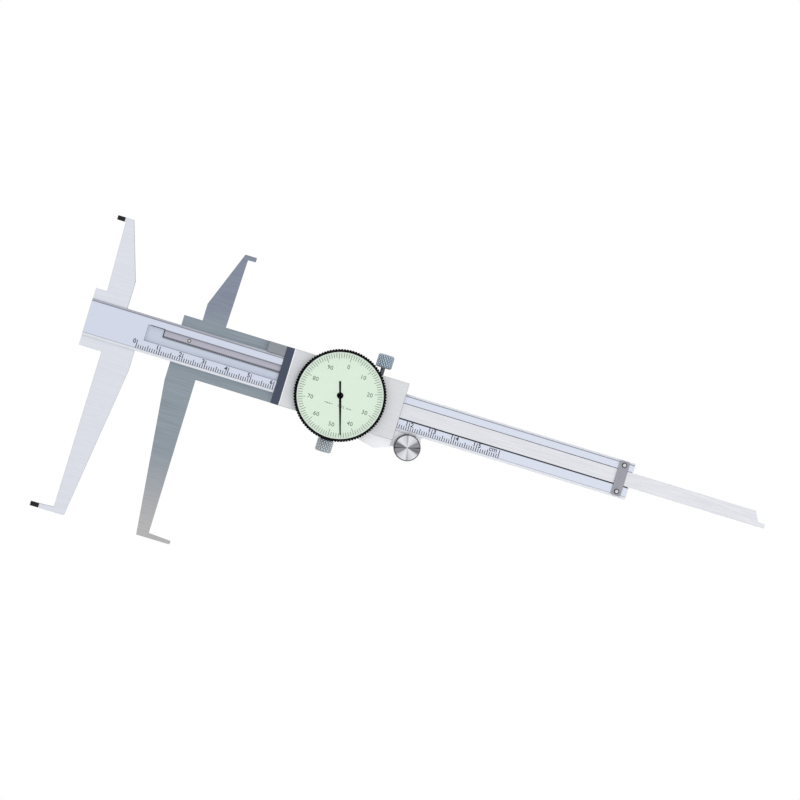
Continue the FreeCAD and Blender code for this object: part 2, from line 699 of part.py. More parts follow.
def stop_plate_screws():
    """Cheese heads in the stop plate; their threads in the beam are not modelled."""
    screws = []
    top = BEAM_FRONT + STOP_HEIGHT + STOP_HEAD_HEIGHT
    length = STOP_HEAD_HEIGHT + STOP_HEIGHT
    for number, (x, y) in enumerate(stop_screw_places()):
        screws.append(slotted_screw(f"stop_screw_{number}", x, y, top, length, STOP_HEAD))
    group("stop_plate_screws", screws)


def slider_screw_places():
    """Two screws in each rail, clear of the gib strip."""
    middle = (GIB_OUTER + BLOCK_HALF) / 2
    return [(x, y) for x in (EDGE_X + END_INSET, SLIDER_END - END_INSET) for y in (middle, -middle)]


def slider_jaw_plate():
    """Movable jaws in one plate with the slider's back, passing behind the fixed jaws."""
    body = make_body("slider_jaw_plate")
    lower = dict(MOVABLE_LOWER, back=MOVABLE_BACK)
    upper_arm = jaw_arm(READING, -1, MOVABLE_UPPER, as_size(0), 1)
    lower_arm = jaw_arm(READING, -1, lower, as_size(0), -1)
    corners = [(SLIDER_END, -BLOCK_HALF), (SLIDER_END, BLOCK_HALF)] + upper_arm
    corners += [
        (READING - MOVABLE_UPPER["back"], BLOCK_HALF),
        (READING - MOVABLE_BACK, BLOCK_HALF),
    ]
    corners += list(reversed(lower_arm))
    pad(body, outline(body, "movable_jaws", corners, level=SLIDER_BACK), JAW_THICKNESS)
    soften(body, "Fillet", TIP_TAPER, upright_at([(READING, -MOVABLE_LOWER["reach"])]))
    seats = circles(body, "slider_screw_seats", slider_screw_places(), SCREW_HEAD, level=SLIDER_BACK)
    cut(body, seats, JAW_THICKNESS, reverse=True)
    keep(body, "slider_jaw_plate")


def upper_rail():
    """Side block above the beam, with a pocket for the gib strip."""
    body = make_body("upper_rail")
    block = rectangle(
        body, "upper_rail_block", EDGE_X - RAIL_LEAD, SLIDER_END, RAIL_INNER, BLOCK_HALF,
        level=RAIL_BACK,
    )
    pad(body, block, RAIL_HEIGHT)
    pocket = rectangle(
        body, "gib_pocket", EDGE_X + GIB_END, SLIDER_END - GIB_END, RAIL_INNER - PAST, GIB_OUTER,
        level=RAIL_BACK,
    )
    cut(body, pocket, RAIL_HEIGHT, reverse=True)
    bores = circles(
        body, "gib_screw_bores", [(x, 0) for x in gib_screw_places()], SCREW_RADIUS,
        plane="XZ_Plane", level=-BLOCK_HALF,
    )
    cut(body, bores, BLOCK_HALF - GIB_OUTER, reverse=True)
    bore = circles(
        body, "lock_bore", [(LOCK_X, 0)], SHANK_RADIUS + FIT, plane="XZ_Plane",
        level=-BLOCK_HALF,
    )
    cut(body, bore, BLOCK_HALF - GIB_OUTER, reverse=True)
    keep(body, "upper_rail")


def gib_screw_places():
    return [EDGE_X + GIB_SCREW_FIRST, EDGE_X + GIB_SCREW_SECOND]


def lower_rail():
    """Side block below the beam, with the thumb rest and a seat for the roller bracket."""
    body = make_body("lower_rail")
    block = rectangle(
        body, "lower_rail_block", EDGE_X, SLIDER_END, -BLOCK_HALF, -RAIL_INNER,
        level=RAIL_BACK,
    )
    pad(body, block, RAIL_HEIGHT)
    rest = outline(body, "thumb_rest", [
        (EDGE_X + REST_START, -BLOCK_HALF),
        (EDGE_X + REST_SHOULDER, -(BLOCK_HALF + REST_SHOULDER_DROP)),
        (EDGE_X + REST_LOWEST, -(BLOCK_HALF + REST_DROP)),
        (SLIDER_END, -(BLOCK_HALF + REST_END_DROP)),
        (SLIDER_END, -BLOCK_HALF),
    ], level=RAIL_BACK)
    pad(body, rest, REST_HEIGHT)
    seat = rectangle(
        body, "bracket_seat", SLIDER_END - TONGUE - SNUG, SLIDER_END + PAST,
        -BLOCK_HALF, PAST - RAIL_INNER, level=RAIL_BACK,
    )
    cut(body, seat, BRACKET_HEIGHT + SNUG, reverse=True)
    keep(body, "lower_rail")


def front_plate():
    """Slider front: bevel at the reading edge, and a foot that the depth bar hangs from."""
    body = make_body("front_plate")
    section = [
        (EDGE_X, PLATE_BACK),
        (EDGE_X, PLATE_BACK + EDGE_LIP),
        (EDGE_X + EDGE_BEVEL, PLATE_FRONT),
        (SLIDER_END, PLATE_FRONT),
        (SLIDER_END, PLATE_BACK),
    ]
    face = outline(body, "plate_section", section, plane="XZ_Plane")
    pad(body, face, BLOCK_WIDTH, midplane=True)
    soften(body, "Chamfer", EDGE_BREAK, on_level(PLATE_FRONT))
    foot = rectangle(
        body, "depth_bar_foot", EDGE_X + BAR_START, SLIDER_END,
        BAR_SIDE - GROOVE_LOW, GROOVE_HIGH - BAR_SIDE, level=PLATE_BACK,
    )
    pad(body, foot, PLATE_BACK - BAR_TOP, reverse=True)
    arbor = circles(
        body, "arbor_hole", [(PINION_X, PINION_Y)], ARBOR_RADIUS + FIT * 2, level=PLATE_FRONT,
    )
    cut(body, arbor, PLATE_FRONT - BAR_TOP)
    keep(body, "front_plate")


def slider_screws():
    """Screw heads in the slider's back; their threads in the rails are not modelled."""
    screws = []
    for number, (x, y) in enumerate(slider_screw_places()):
        screws.append(slotted_screw(
            f"slider_screw_{number}", x, y, SLIDER_BACK, JAW_THICKNESS, SCREW_HEAD,
            Vector(0, 0, -1),
        ))
    group("slider_screws", screws)


def gib_strip():
    """Spring strip that takes up the play at the beam's upper edge."""
    strip = doc.addObject("Part::Box", "gib_strip")
    bind(strip, Length=PLATE_LENGTH - GIB_END * 2 - SNUG * 2)
    bind(strip, Width=GIB_THICKNESS - SNUG, Height=GIB_HEIGHT)
    place(strip, EDGE_X + GIB_END + SNUG, RAIL_INNER, -GIB_HEIGHT / 2)
    keep(strip, "gib_strip")


def gib_screws():
    """Set screws that press the gib strip."""
    screws = []
    length = BLOCK_HALF - GIB_OUTER
    for number, x in enumerate(gib_screw_places()):
        screws.append(slotted_screw(
            f"gib_screw_{number}", x, BLOCK_HALF, 0, length, SCREW_RADIUS, Vector(0, 1, 0),
        ))
    group("gib_screws", screws)


def depth_bar():
    """Flat bar in the groove, level with the beam's end at reading zero, with a foot."""
    body = make_body("depth_bar")
    low = BAR_SIDE - GROOVE_LOW
    high = GROOVE_HIGH - BAR_SIDE
    end = BEAM_LENGTH + READING
    corners = [
        (EDGE_X + BAR_START, low),
        (end, low),
        (end, low + NIB_WIDTH),
        (end - NIB_LENGTH, low + NIB_WIDTH),
        (end - NIB_LENGTH - NIB_SLANT, high),
        (EDGE_X + BAR_START, high),
    ]
    pad(body, outline(body, "bar_outline", corners, level=BAR_BOTTOM), BAR_HEIGHT)
    keep(body, "depth_bar")


def roller_bracket():
    """Plate let into the lower rail that carries the thumb roller."""
    body = make_body("roller_bracket")
    near = -(BEAM_HALF + ROLLER_GAP)
    far = near - BRACKET_DROP
    end = ROLLER_X + BRACKET_END
    corners = [
        (SLIDER_END - TONGUE, near),
        (end, near),
        (end, far + BRACKET_CORNER),
        (end - BRACKET_CORNER, far),
        (SLIDER_END + SNUG, far),
        (SLIDER_END + SNUG, SNUG - BLOCK_HALF),
        (SLIDER_END - TONGUE, SNUG - BLOCK_HALF),
    ]
    pad(body, outline(body, "bracket_outline", corners, level=RAIL_BACK), BRACKET_HEIGHT)
    bore = circles(
        body, "axle_bore", [(ROLLER_X, ROLLER_Y)], AXLE_RADIUS + SNUG, level=BRACKET_TOP,
    )
    cut(body, bore, BRACKET_HEIGHT)
    keep(body, "roller_bracket")


def roller_axle():
    """Pin fixed in the bracket, hidden inside the roller."""
    axle = doc.addObject("Part::Cylinder", "roller_axle")
    bind(axle, Radius=AXLE_RADIUS, Height=BRACKET_HEIGHT + RUN + AXLE_REACH)
    place(axle, ROLLER_X, ROLLER_Y, RAIL_BACK)
    keep(axle, "roller_axle")


def thumb_roller():
    """Knurled roller that runs along the beam's lower edge, with a blind bore."""
    bore = AXLE_RADIUS + FIT
    deep = AXLE_REACH + FIT
    profile = [
        (bore, 0),
        (ROLLER_RADIUS - ROLLER_EDGE, 0),
        (ROLLER_RADIUS, ROLLER_EDGE),
        (ROLLER_RADIUS, ROLLER_HEIGHT - ROLLER_EDGE),
        (ROLLER_RADIUS - ROLLER_EDGE, ROLLER_HEIGHT),
        (0, ROLLER_HEIGHT),
        (0, deep),
        (bore, deep),
    ]
    keep(turned("thumb_roller", profile, ROLLER_X, ROLLER_Y, BRACKET_TOP + RUN), "thumb_roller")


def thumb_screw(name, x, head_y, level, side, reach):
    """Knurled screw along Y: side is the way its head points."""
    profile = [
        (0, -reach),
        (SHANK_RADIUS, -reach),
        (SHANK_RADIUS, 0),
        (HEAD_RADIUS - HEAD_EDGE, 0),
        (HEAD_RADIUS, HEAD_EDGE),
        (HEAD_RADIUS, HEAD_LENGTH - HEAD_EDGE),
        (HEAD_RADIUS - HEAD_EDGE, HEAD_LENGTH),
        (0, HEAD_LENGTH),
    ]
    keep(turned(name, profile, x, head_y, level, Vector(0, side, 0)), name)


def lock_screw():
    """Screw through the upper rail that presses the gib strip on the beam."""
    head = BLOCK_HALF + LOCK_STAND
    thumb_screw("lock_screw", LOCK_X, head, 0, 1, head - GIB_OUTER - FIT)


def bezel_clamp_screw():
    """Screw in the case's lug; its shank lifts the brake pin against the bezel."""
    reach = CLAMP_HEAD_Y - DIAL_DROP - BRAKE_OFFSET + CLAMP_PAST
    thumb_screw("bezel_clamp_screw", DIAL_X, -CLAMP_HEAD_Y, CLAMP_LEVEL, -1, reach)


def brake_pin():
    """Pin between the clamp screw's shank and the bezel's underside."""
    bottom = CLAMP_LEVEL + SHANK_RADIUS + FIT
    pin = doc.addObject("Part::Cylinder", "brake_pin")
    bind(pin, Radius=BRAKE_RADIUS, Height=BEZEL_BOTTOM - FIT - bottom)
    place(pin, DIAL_X, DIAL_Y - BRAKE_OFFSET, bottom)
    keep(pin, "brake_pin")


def dial_case():
    """Round case: flange, wall that the bezel runs on, arbor holes and clamp lug."""
    profile = [
        (0, 0),
        (FLANGE_RADIUS, 0),
        (FLANGE_RADIUS, CASE_FLOOR),
        (CASE_RADIUS, CASE_FLOOR),
        (CASE_RADIUS, CASE_HEIGHT),
        (CASE_RADIUS - CASE_WALL, CASE_HEIGHT),
        (CASE_RADIUS - CASE_WALL, CASE_FLOOR),
        (0, CASE_FLOOR),
    ]
    body = turned("dial_case", profile, DIAL_X, DIAL_Y, PLATE_FRONT)
    lug_low = CLAMP_LEVEL - SHANK_RADIUS - CASE_FLOOR - PLATE_FRONT
    lug_inner = -(BLOCK_HALF - DIAL_DROP + SNUG)
    lug_outer = -(BRAKE_OFFSET + BRAKE_RADIUS + FIT * 2)
    lug = rectangle(body, "clamp_lug", -LUG_HALF, LUG_HALF, lug_outer, lug_inner)
    pad(body, lug, -lug_low, reverse=True)
    bore = circles(
        body, "clamp_bore", [(0, CLAMP_LEVEL - PLATE_FRONT)], SHANK_RADIUS + FIT,
        plane="XZ_Plane", level=-lug_outer,
    )
    cut(body, bore, lug_inner - lug_outer)
    pin_hole = circles(
        body, "brake_hole", [(0, -BRAKE_OFFSET)], BRAKE_RADIUS + SNUG, level=CASE_FLOOR,
    )
    cut(body, pin_hole, CASE_FLOOR + PLATE_FRONT - CLAMP_LEVEL)
    pivot = circles(body, "pivot_hole", [(0, 0)], PIVOT_RADIUS + FIT, level=CASE_FLOOR)
    cut(body, pivot, CASE_FLOOR)
    arbor = circles(
        body, "case_arbor_hole", [(-TRAIN_RUN, TRAIN_RISE)], ARBOR_RADIUS + FIT,
        level=CASE_FLOOR,
    )
    cut(body, arbor, CASE_FLOOR)
    keep(body, "dial_case")


def bridge_plate():
    """Plate over the gear train, on two pillars, with the upper pivot holes."""
    body = make_body("bridge_plate")
    place(body, DIAL_X, DIAL_Y, 0)
    long = BRIDGE_HALF
    short = BRIDGE_END
    corners = [
        (-long, -short), (-short, -long), (short, -long), (long, -short),
        (long, short), (short, long), (-short, long), (-long, short),
    ]
    pad(body, outline(body, "bridge_outline", corners, level=BRIDGE_BOTTOM), BRIDGE_HEIGHT)
    places = [(0, PILLAR_OFFSET), (0, -PILLAR_OFFSET)]
    posts = circles(body, "pillars", places, PILLAR_RADIUS, level=BRIDGE_BOTTOM)
    pad(body, posts, BRIDGE_LIFT, reverse=True)
    pinion_place = [(-TRAIN_RUN, TRAIN_RISE)]
    pivot = circles(body, "bridge_pivot", pinion_place, PIVOT_RADIUS + FIT, level=BRIDGE_TOP)
    cut(body, pivot, BRIDGE_HEIGHT)
    centre = circles(body, "bridge_centre", [(0, 0)], ARBOR_RADIUS + FIT, level=BRIDGE_TOP)
    cut(body, centre, BRIDGE_HEIGHT)
    keep(body, "bridge_plate")


def bezel_ring():
    """Knurled bezel: runs on the case wall, carries dial face and crystal."""
    core = BEZEL_RADIUS - KNURL_DEPTH - SNUG
    bore = CASE_RADIUS + FIT
    lip = KNURL_HEIGHT + BEZEL_FOOT
    profile = [
        (bore, 0),
        (core, 0),
        (core, lip),
        (core - BEZEL_CHAMFER, BEZEL_HEIGHT),
        (WINDOW_RADIUS, BEZEL_HEIGHT),
        (WINDOW_RADIUS, SEAT_HEIGHT),
        (bore, SEAT_HEIGHT),
    ]
    body = turned("bezel_ring", profile, DIAL_X, DIAL_Y, BEZEL_BOTTOM)
    half = core * math.pi / KNURL_COUNT
    slope = half / KNURL_DEPTH
    ridge = outline(body, "knurl_ridge", [
        (core - KNURL_DEPTH, -(half + slope * KNURL_DEPTH)),
        (BEZEL_RADIUS, 0),
        (core - KNURL_DEPTH, half + slope * KNURL_DEPTH),
    ], level=BEZEL_FOOT)
    first = pad(body, ridge, KNURL_HEIGHT)
    pattern = body.newObject("PartDesign::PolarPattern", "knurl")
    pattern.Originals = [first]
    pattern.Axis = (ridge, ["N_Axis"])
    pattern.Angle = FULL_TURN
    bind(pattern, Occurrences=KNURL_COUNT)
    pattern.Refine = True
    body.Tip = pattern
    settle()
    keep(body, "bezel_ring")


def disc(name, radius, height, bottom, hole=None):
    """Flat round plate over the dial centre."""
    plate = doc.addObject("Part::Cylinder", name + "_blank" if hole else name)
    bind(plate, Radius=radius, Height=height)
    place(plate, DIAL_X, DIAL_Y, bottom)
    if hole:
        drill = doc.addObject("Part::Cylinder", name + "_drill")
        bind(drill, Radius=hole, Height=height + PAST * 2)
        place(drill, DIAL_X, DIAL_Y, bottom - PAST)
        blank = plate
        plate = doc.addObject("Part::Cut", name)
        plate.Base = blank
        plate.Tool = drill
    keep(plate, name)


def dial_face():
    disc("dial_face", WINDOW_RADIUS - SNUG, FACE_HEIGHT, FACE_BOTTOM, FACE_HOLE)


def crystal():
    bottom = BEZEL_TOP - CRYSTAL_DROP - CRYSTAL_HEIGHT
    disc("crystal", WINDOW_RADIUS - SNUG, CRYSTAL_HEIGHT, bottom)


def pointer():
    """Black hand: tapered blade with a round hub, set to the reading at rest."""
    body = make_body("pointer")
    blade = outline(body, "hand_blade", [
        (-HAND_TAIL, -HAND_WIDTH / 2),
        (HAND_REACH, -HAND_POINT / 2),
        (HAND_REACH, HAND_POINT / 2),
        (-HAND_TAIL, HAND_WIDTH / 2),
    ])
    pad(body, blade, HAND_HEIGHT)
    hub = circles(body, "hand_hub", [(0, 0)], HUB_RADIUS)
    pad(body, hub, HUB_HEIGHT)
    hole = circles(body, "hand_bore", [(0, 0)], PIVOT_RADIUS + SNUG, level=HUB_HEIGHT)
    cut(body, hole, HUB_HEIGHT)
    place(body, DIAL_X, DIAL_Y, HAND_BOTTOM)
    body.Placement.Rotation = Rotation(Vector(0, 0, 1), 1)
    bind(body, Placement__Rotation__Angle=QUARTER_TURN - READING % TURN / TURN * FULL_TURN)
    settle()
    keep(body, "pointer")


def involute(angle):
    return math.tan(angle) - angle


def gear_outline(teeth, module, phase, plain):
    """Wire round a spur gear, one tooth pointing at phase; plain flanks are straight."""
    pitch = module * teeth / 2
    base = pitch * math.cos(PRESSURE_ANGLE)
    root = pitch - DEDENDUM * module
    middle_radii = set() if plain else {max(root, base), pitch}
    radii = sorted({root, pitch + module} | middle_radii)
    half_tooth = (math.pi * module / 2 - BACKLASH.value) / 2 / pitch
    flank = []
    for radius in radii:
        slope = math.acos(min(1.0, base / radius))
        flank.append((radius, half_tooth + involute(PRESSURE_ANGLE) - involute(slope)))
    points = []
    for tooth in range(teeth):
        middle = phase + tooth * 2 * math.pi / teeth
        rising = [(radius, middle - half) for radius, half in flank]
        falling = [(radius, middle + half) for radius, half in reversed(flank)]
        for radius, angle in rising + falling:
            points.append(Vector(radius * math.cos(angle), radius * math.sin(angle), 0))
    points.append(points[0])
    return Part.makePolygon(points)


def gear_solid(teeth, module, phase, height, plain=False):
    """Spur gear standing on its own origin."""
    wire = gear_outline(teeth, module, phase, plain)
    return Part.Face(wire).extrude(Vector(0, 0, height))


def set_solid(name, solid, x, y, z):
    """Keep a solid that the sheet's numbers shaped, and stand it at its place."""
    item = doc.addObject("Part::Feature", name)
    item.Shape = solid
    place(item, x, y, z)
    settle()
    keep(item, name)


def stepped_shaft(steps):
    """Shaft from (radius, bottom, top) steps."""
    shaft = None
    for radius, bottom, top in steps:
        step = Part.makeCylinder(radius, top - bottom, Vector(0, 0, bottom))
        shaft = step if shaft is None else shaft.fuse(step)
    return shaft.removeSplitter()


def train_direction():
    """Angle from the dial centre towards the rack pinion."""
    return math.atan2(TRAIN_RISE.value, -TRAIN_RUN.value)


def pinion_arbor():
    """Rack pinion in the groove, on the arbor that rises to the drive wheel."""
    teeth = int(RACK_PINION_TEETH.value)
    first_gap = RACK_START.value + RACK_PITCH.value / 2
    rolled = (PINION_X.value - first_gap) / PINION_RADIUS.value
    bottom = GROOVE_FLOOR.value + PINION_LIFT.value
    height = RACK_TOP.value - bottom
    pinion = gear_solid(teeth, RACK_MODULE.value, math.pi / 2 + rolled, height)
    pinion.translate(Vector(0, 0, bottom))
    shaft = stepped_shaft([
        (ARBOR_RADIUS.value, bottom, WHEEL_TOP.value + PINION_LIFT.value),
        (PIVOT_RADIUS.value, bottom, BRIDGE_TOP.value),
    ])
    set_solid("pinion_arbor", pinion.fuse(shaft).removeSplitter(), PINION_X, PINION_Y, 0)


def drive_wheel():
    """Brass wheel on the pinion arbor, one tooth pointing at the centre pinion."""
    teeth = int(WHEEL_TEETH.value)
    phase = train_direction() + math.pi
    bore = ARBOR_RADIUS.value + SNUG.value
    blank = gear_solid(teeth, TRAIN_MODULE.value, phase, WHEEL_HEIGHT.value, plain=True)
    drill = Part.makeCylinder(bore, WHEEL_HEIGHT.value)
    set_solid("drive_wheel", blank.cut(drill), PINION_X, PINION_Y, WHEEL_BOTTOM)


def centre_arbor():
    """Arbor of the hand, with the centre pinion that the drive wheel turns."""
    teeth = int(CENTRE_TEETH.value)
    half_step = math.pi / teeth
    height = WHEEL_HEIGHT.value + 2 * PINION_LIFT.value
    module = TRAIN_MODULE.value
    pinion = gear_solid(teeth, module, train_direction() + half_step, height)
    low = WHEEL_BOTTOM.value - PINION_LIFT.value
    pinion.translate(Vector(0, 0, low))
    shaft = stepped_shaft([
        (PIVOT_RADIUS.value, PLATE_FRONT.value + RUN.value, HAND_BOTTOM.value + HUB_HEIGHT.value),
        (ARBOR_RADIUS.value, FLOOR_TOP.value + RUN.value, FACE_TOP.value),
    ])
    set_solid("centre_arbor", pinion.fuse(shaft).removeSplitter(), DIAL_X, DIAL_Y, 0)


def build():
    main_beam()
    fixed_jaw_plate()
    fixed_jaw_tips()
    rack()
    rack_screws()
    stop_plate()
    stop_plate_screws()
    slider_jaw_plate()
    upper_rail()
    lower_rail()
    front_plate()
    slider_screws()
    gib_strip()
    gib_screws()
    depth_bar()
    roller_bracket()
    roller_axle()
    thumb_roller()
    lock_screw()
    bezel_clamp_screw()
    brake_pin()
    dial_case()
    bridge_plate()
    bezel_ring()
    dial_face()
    crystal()
    pointer()
    pinion_arbor()
    drive_wheel()
    centre_arbor()


def check_and_write():
    """Stop on anything that failed, then write one file a piece."""
    settle()
    for item in doc.Objects:
        if "Invalid" in item.State or "Error" in item.State:
            raise RuntimeError(f"{item.Label} failed: {item.State}")
    for item in pieces:
        if item.Shape.isNull() or not item.Shape.isValid():
            raise RuntimeError(f"{item.Label} has no valid shape")
        if not item.Shape.Solids:
            raise RuntimeError(f"{item.Label} has no solid")
        item.Shape.exportStep(f"parts/{item.Label}.step")
        print(item.Label, len(item.Shape.Solids), round(item.Shape.Volume, 3))


build()
check_and_write()
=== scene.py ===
import json
import math

import bpy
from mathutils import Matrix, Vector


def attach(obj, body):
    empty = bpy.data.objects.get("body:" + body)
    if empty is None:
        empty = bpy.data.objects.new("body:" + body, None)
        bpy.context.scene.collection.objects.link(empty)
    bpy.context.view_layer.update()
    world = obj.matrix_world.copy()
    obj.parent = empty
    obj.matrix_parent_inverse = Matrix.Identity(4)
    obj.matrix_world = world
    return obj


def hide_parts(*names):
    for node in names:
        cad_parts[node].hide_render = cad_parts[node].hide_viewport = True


# %% [markdown]
# # Inside groove dial caliper
# The frame holds every piece of the caliper in metres: +X runs along the beam, +Y to
# the short jaws, +Z out of the dial. This scene gives those pieces their finish, adds
# the scale, the dial print, the bezel's beads and the hand, and then lights and frames
# them.

# %% Load the frame
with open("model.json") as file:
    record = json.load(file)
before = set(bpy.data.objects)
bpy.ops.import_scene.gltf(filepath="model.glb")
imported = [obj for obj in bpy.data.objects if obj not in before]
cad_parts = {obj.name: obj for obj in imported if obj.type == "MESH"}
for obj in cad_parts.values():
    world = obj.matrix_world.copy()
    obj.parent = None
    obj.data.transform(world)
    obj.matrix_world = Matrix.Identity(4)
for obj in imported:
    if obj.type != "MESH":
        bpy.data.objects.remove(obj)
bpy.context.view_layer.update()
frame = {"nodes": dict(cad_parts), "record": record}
nodes = frame["nodes"]
print("pieces in the frame:", len(nodes))

# Sizes and places are written in millimetres, unless a comment says metres, and MM turns
# them into the frame's metres
MM = 0.001

# %% [markdown]
# ## Writing shaders as sums
# A node tree is easier to read as arithmetic. So a socket is wrapped in a small class,
# and each + or * on it adds one Math node. A second class holds the material and adds
# every other kind of node through one method.


# %% Socket arithmetic
class Value:
    """One number that changes over a surface, as the output of a shader node."""

    def __init__(self, shader, socket):
        self.shader = shader
        self.socket = socket

    def joined(self, operation, other):
        return self.shader.math(operation, self, other)

    def __add__(self, other):
        return self.joined("ADD", other)

    def __radd__(self, other):
        return self.joined("ADD", other)

    def __sub__(self, other):
        return self.joined("SUBTRACT", other)

    def __rsub__(self, other):
        return self.shader.math("SUBTRACT", other, self)

    def __mul__(self, other):
        return self.joined("MULTIPLY", other)

    def __rmul__(self, other):
        return self.joined("MULTIPLY", other)


class Shader:
    """A material, with one method that adds any node to it."""

    def __init__(self, name):
        self.material = bpy.data.materials.new(name)
        self.material.use_nodes = True
        self.tree = self.material.node_tree
        self.surface = self.tree.nodes["Principled BSDF"]
        self.streaks = None

    def node(self, kind, settings=None, **inputs):
        """Add a node: settings are set first, then its inputs are filled or linked."""
        made = self.tree.nodes.new(kind)
        for name, value in (settings or {}).items():
            setattr(made, name, value)
        for name, value in inputs.items():
            self.fill(made.inputs[name.replace("_", " ")], value)
        return made

    def fill(self, socket, value):
        """Link a socket or a Value, or write a constant."""
        if isinstance(value, Value):
            self.tree.links.new(value.socket, socket)
        elif isinstance(value, bpy.types.NodeSocket):
            self.tree.links.new(value, socket)
        else:
            socket.default_value = value

    def math(self, operation, *terms, clamped=False):
        made = self.node("ShaderNodeMath", {"operation": operation, "use_clamp": clamped})
        for socket, term in zip(made.inputs, terms):
            self.fill(socket, term)
        return Value(self, made.outputs[0])

    def near(self, value, middle, width):
        """One at the middle, falling to nothing at width on both sides."""
        away = self.math("ABSOLUTE", value - middle * MM)
        return self.math("SUBTRACT", 1.0, away * (1 / (width * MM)), clamped=True)

    def ramp(self, value, start, end):
        """From nothing at start to one at end."""
        rise = value - start * MM
        return self.math("MULTIPLY", rise, 1 / ((end - start) * MM), clamped=True)

    def within(self, value, low, high):
        """One between low and high, nothing elsewhere."""
        above = self.math("GREATER_THAN", value, low * MM)
        return above * self.math("LESS_THAN", value, high * MM)

    def place(self):
        """Object coordinates, in metres."""
        return self.node("ShaderNodeTexCoord").outputs["Object"]

    def axes(self):
        split = self.node("ShaderNodeSeparateXYZ", Vector=self.place())
        return [Value(self, output) for output in split.outputs]

    def stretched(self, scale):
        mapping = self.node("ShaderNodeMapping", Vector=self.place(), Scale=scale)
        return mapping.outputs["Vector"]

    def noise(self, scale, detail=3.0):
        """Noise stretched by a different scale along each axis, about 0 to 1."""
        made = self.node(
            "ShaderNodeTexNoise", Vector=self.stretched(scale), Scale=1.0, Detail=detail,
        )
        return Value(self, made.outputs["Fac"])

    def blend(self, amount, low, high):
        """Colour between two colours."""
        made = self.node("ShaderNodeMix", {"data_type": "RGBA"})
        self.fill(made.inputs[0], amount)
        for socket, colour in ((made.inputs[6], low), (made.inputs[7], high)):
            value = colour if isinstance(colour, bpy.types.NodeSocket) else (*colour, 1.0)
            self.fill(socket, value)
        return made.outputs[2]

    def bump(self, height, strength, distance):
        made = self.node(
            "ShaderNodeBump", Height=height, Strength=strength, Distance=distance,
        )
        self.fill(self.surface.inputs["Normal"], made.outputs["Normal"])

    def set(self, **inputs):
        for name, value in inputs.items():
            self.fill(self.surface.inputs[name.replace("_", " ")], value)
        return self

    def tint(self, amount, colour):
        """Lay another colour over the base colour."""
        base = self.surface.inputs["Base Color"].links[0].from_socket
        self.set(Base_Color=self.blend(amount, base, colour))
        return self

    def streaked(self, colour, contrast):
        """Another steel colour, with the same streaks as the base colour."""
        low = shade(colour, 1 - contrast)
        high = shade(colour, 1 + contrast)
        return self.blend(self.streaks, low, high)

    def facing(self):
        """How far the surface faces the front or the back, by its own normal."""
        normal = self.node("ShaderNodeTexCoord").outputs["Normal"]
        split = self.node("ShaderNodeSeparateXYZ", Vector=normal)
        return self.math("ABSOLUTE", Value(self, split.outputs["Z"]))


def shade(colour, factor):
    """The same colour, brighter or darker."""
    return tuple(min(1.0, part * factor) for part in colour)


print("shader helpers ready")

# %% [markdown]
# ## Brushed steel
# Most of the caliper is ground steel. Grinding leaves fine scratches that all run one
# way. An image would blur or repeat on a long beam, so noise makes them: it is
# stretched along the way of grinding, and varies colour, roughness and surface.

# %% Brushed steel
# The way that steel is ground, as an axis' number
LENGTHWISE = 0
CROSSWISE = 1
UPRIGHT = 2

# Noise scale across and along the scratches
FINE_GRAIN = (5000.0, 110.0)
BROAD_GRAIN = (1500.0, 60.0)
GRAIN_STRENGTH = 0.25
GRAIN_DEPTH = 0.02
ROUGHNESS_SWING = 0.25
ROUGHNESS_DROP = 0.12


def grain(scales, along):
    """Noise scale of the three axes."""
    across, lengthwise = scales
    return [lengthwise if axis == along else across for axis in range(3)]


def brushed(name, colour, along=LENGTHWISE, roughness=0.4, contrast=0.1):
    """Steel ground along one axis."""
    shader = Shader(name)
    fine = shader.noise(grain(FINE_GRAIN, along))
    broad = shader.noise(grain(BROAD_GRAIN, along))
    shader.streaks = fine * 0.5 + broad * 0.5
    shader.set(Base_Color=shader.streaked(colour, contrast), Metallic=1.0)
    shader.set(Roughness=shader.streaks * ROUGHNESS_SWING + (roughness - ROUGHNESS_DROP))
    shader.bump(shader.streaks, GRAIN_STRENGTH, GRAIN_DEPTH * MM)
    return shader


# Colour, way of grinding, roughness and contrast
STEELS = {
    "rail_steel": ((0.305, 0.33, 0.35), LENGTHWISE, 0.42, 0.25),
    "rest_steel": ((0.96, 0.97, 1.0), LENGTHWISE, 0.45, 0.05),
    "stop_plate_steel": ((0.37, 0.37, 0.41), CROSSWISE, 0.40, 0.18),
    "screw_steel": ((0.50, 0.50, 0.52), LENGTHWISE, 0.35, 0.10),
}
materials = {}
for name, look in STEELS.items():
    materials[name] = brushed(name, *look).material
print("even steels:", len(materials))

# %% [markdown]
# ## Steel that changes across a piece
# Some pieces are darker in one part: painted shade on the groove's corners and between the
# rack's teeth, a painted dark reflection on the reading edge, and a darker foot on the
# movable jaws. Each such place could be a mesh of its own, but a mask is simpler: it is
# worked out from the object's own coordinates, and a second colour is laid over the steel
# through it. The beam has the most of them, with painted reflections on its bevels too.

# %% The beam
# Near-black laid over the steel as painted shade and painted shadow
SHADE_BLACK = (0.02, 0.02, 0.03)
BEAM_END = 240.5
GROOVE_START = 25.6
RACK_START = 33.0
GROOVE_FLOOR = (-0.6, -0.2)
GROOVE_WALLS = (-2.7, 4.1)
BEVEL_LEVELS = (1.4, 1.97)

# The rack's painted shadow: its middle and half width, where it starts and ends, how dark
SHADOW_LINE = (0.9, 0.7)
SHADOW_REACH = (32.6, 200)
SHADOW_DEPTH = 0.7
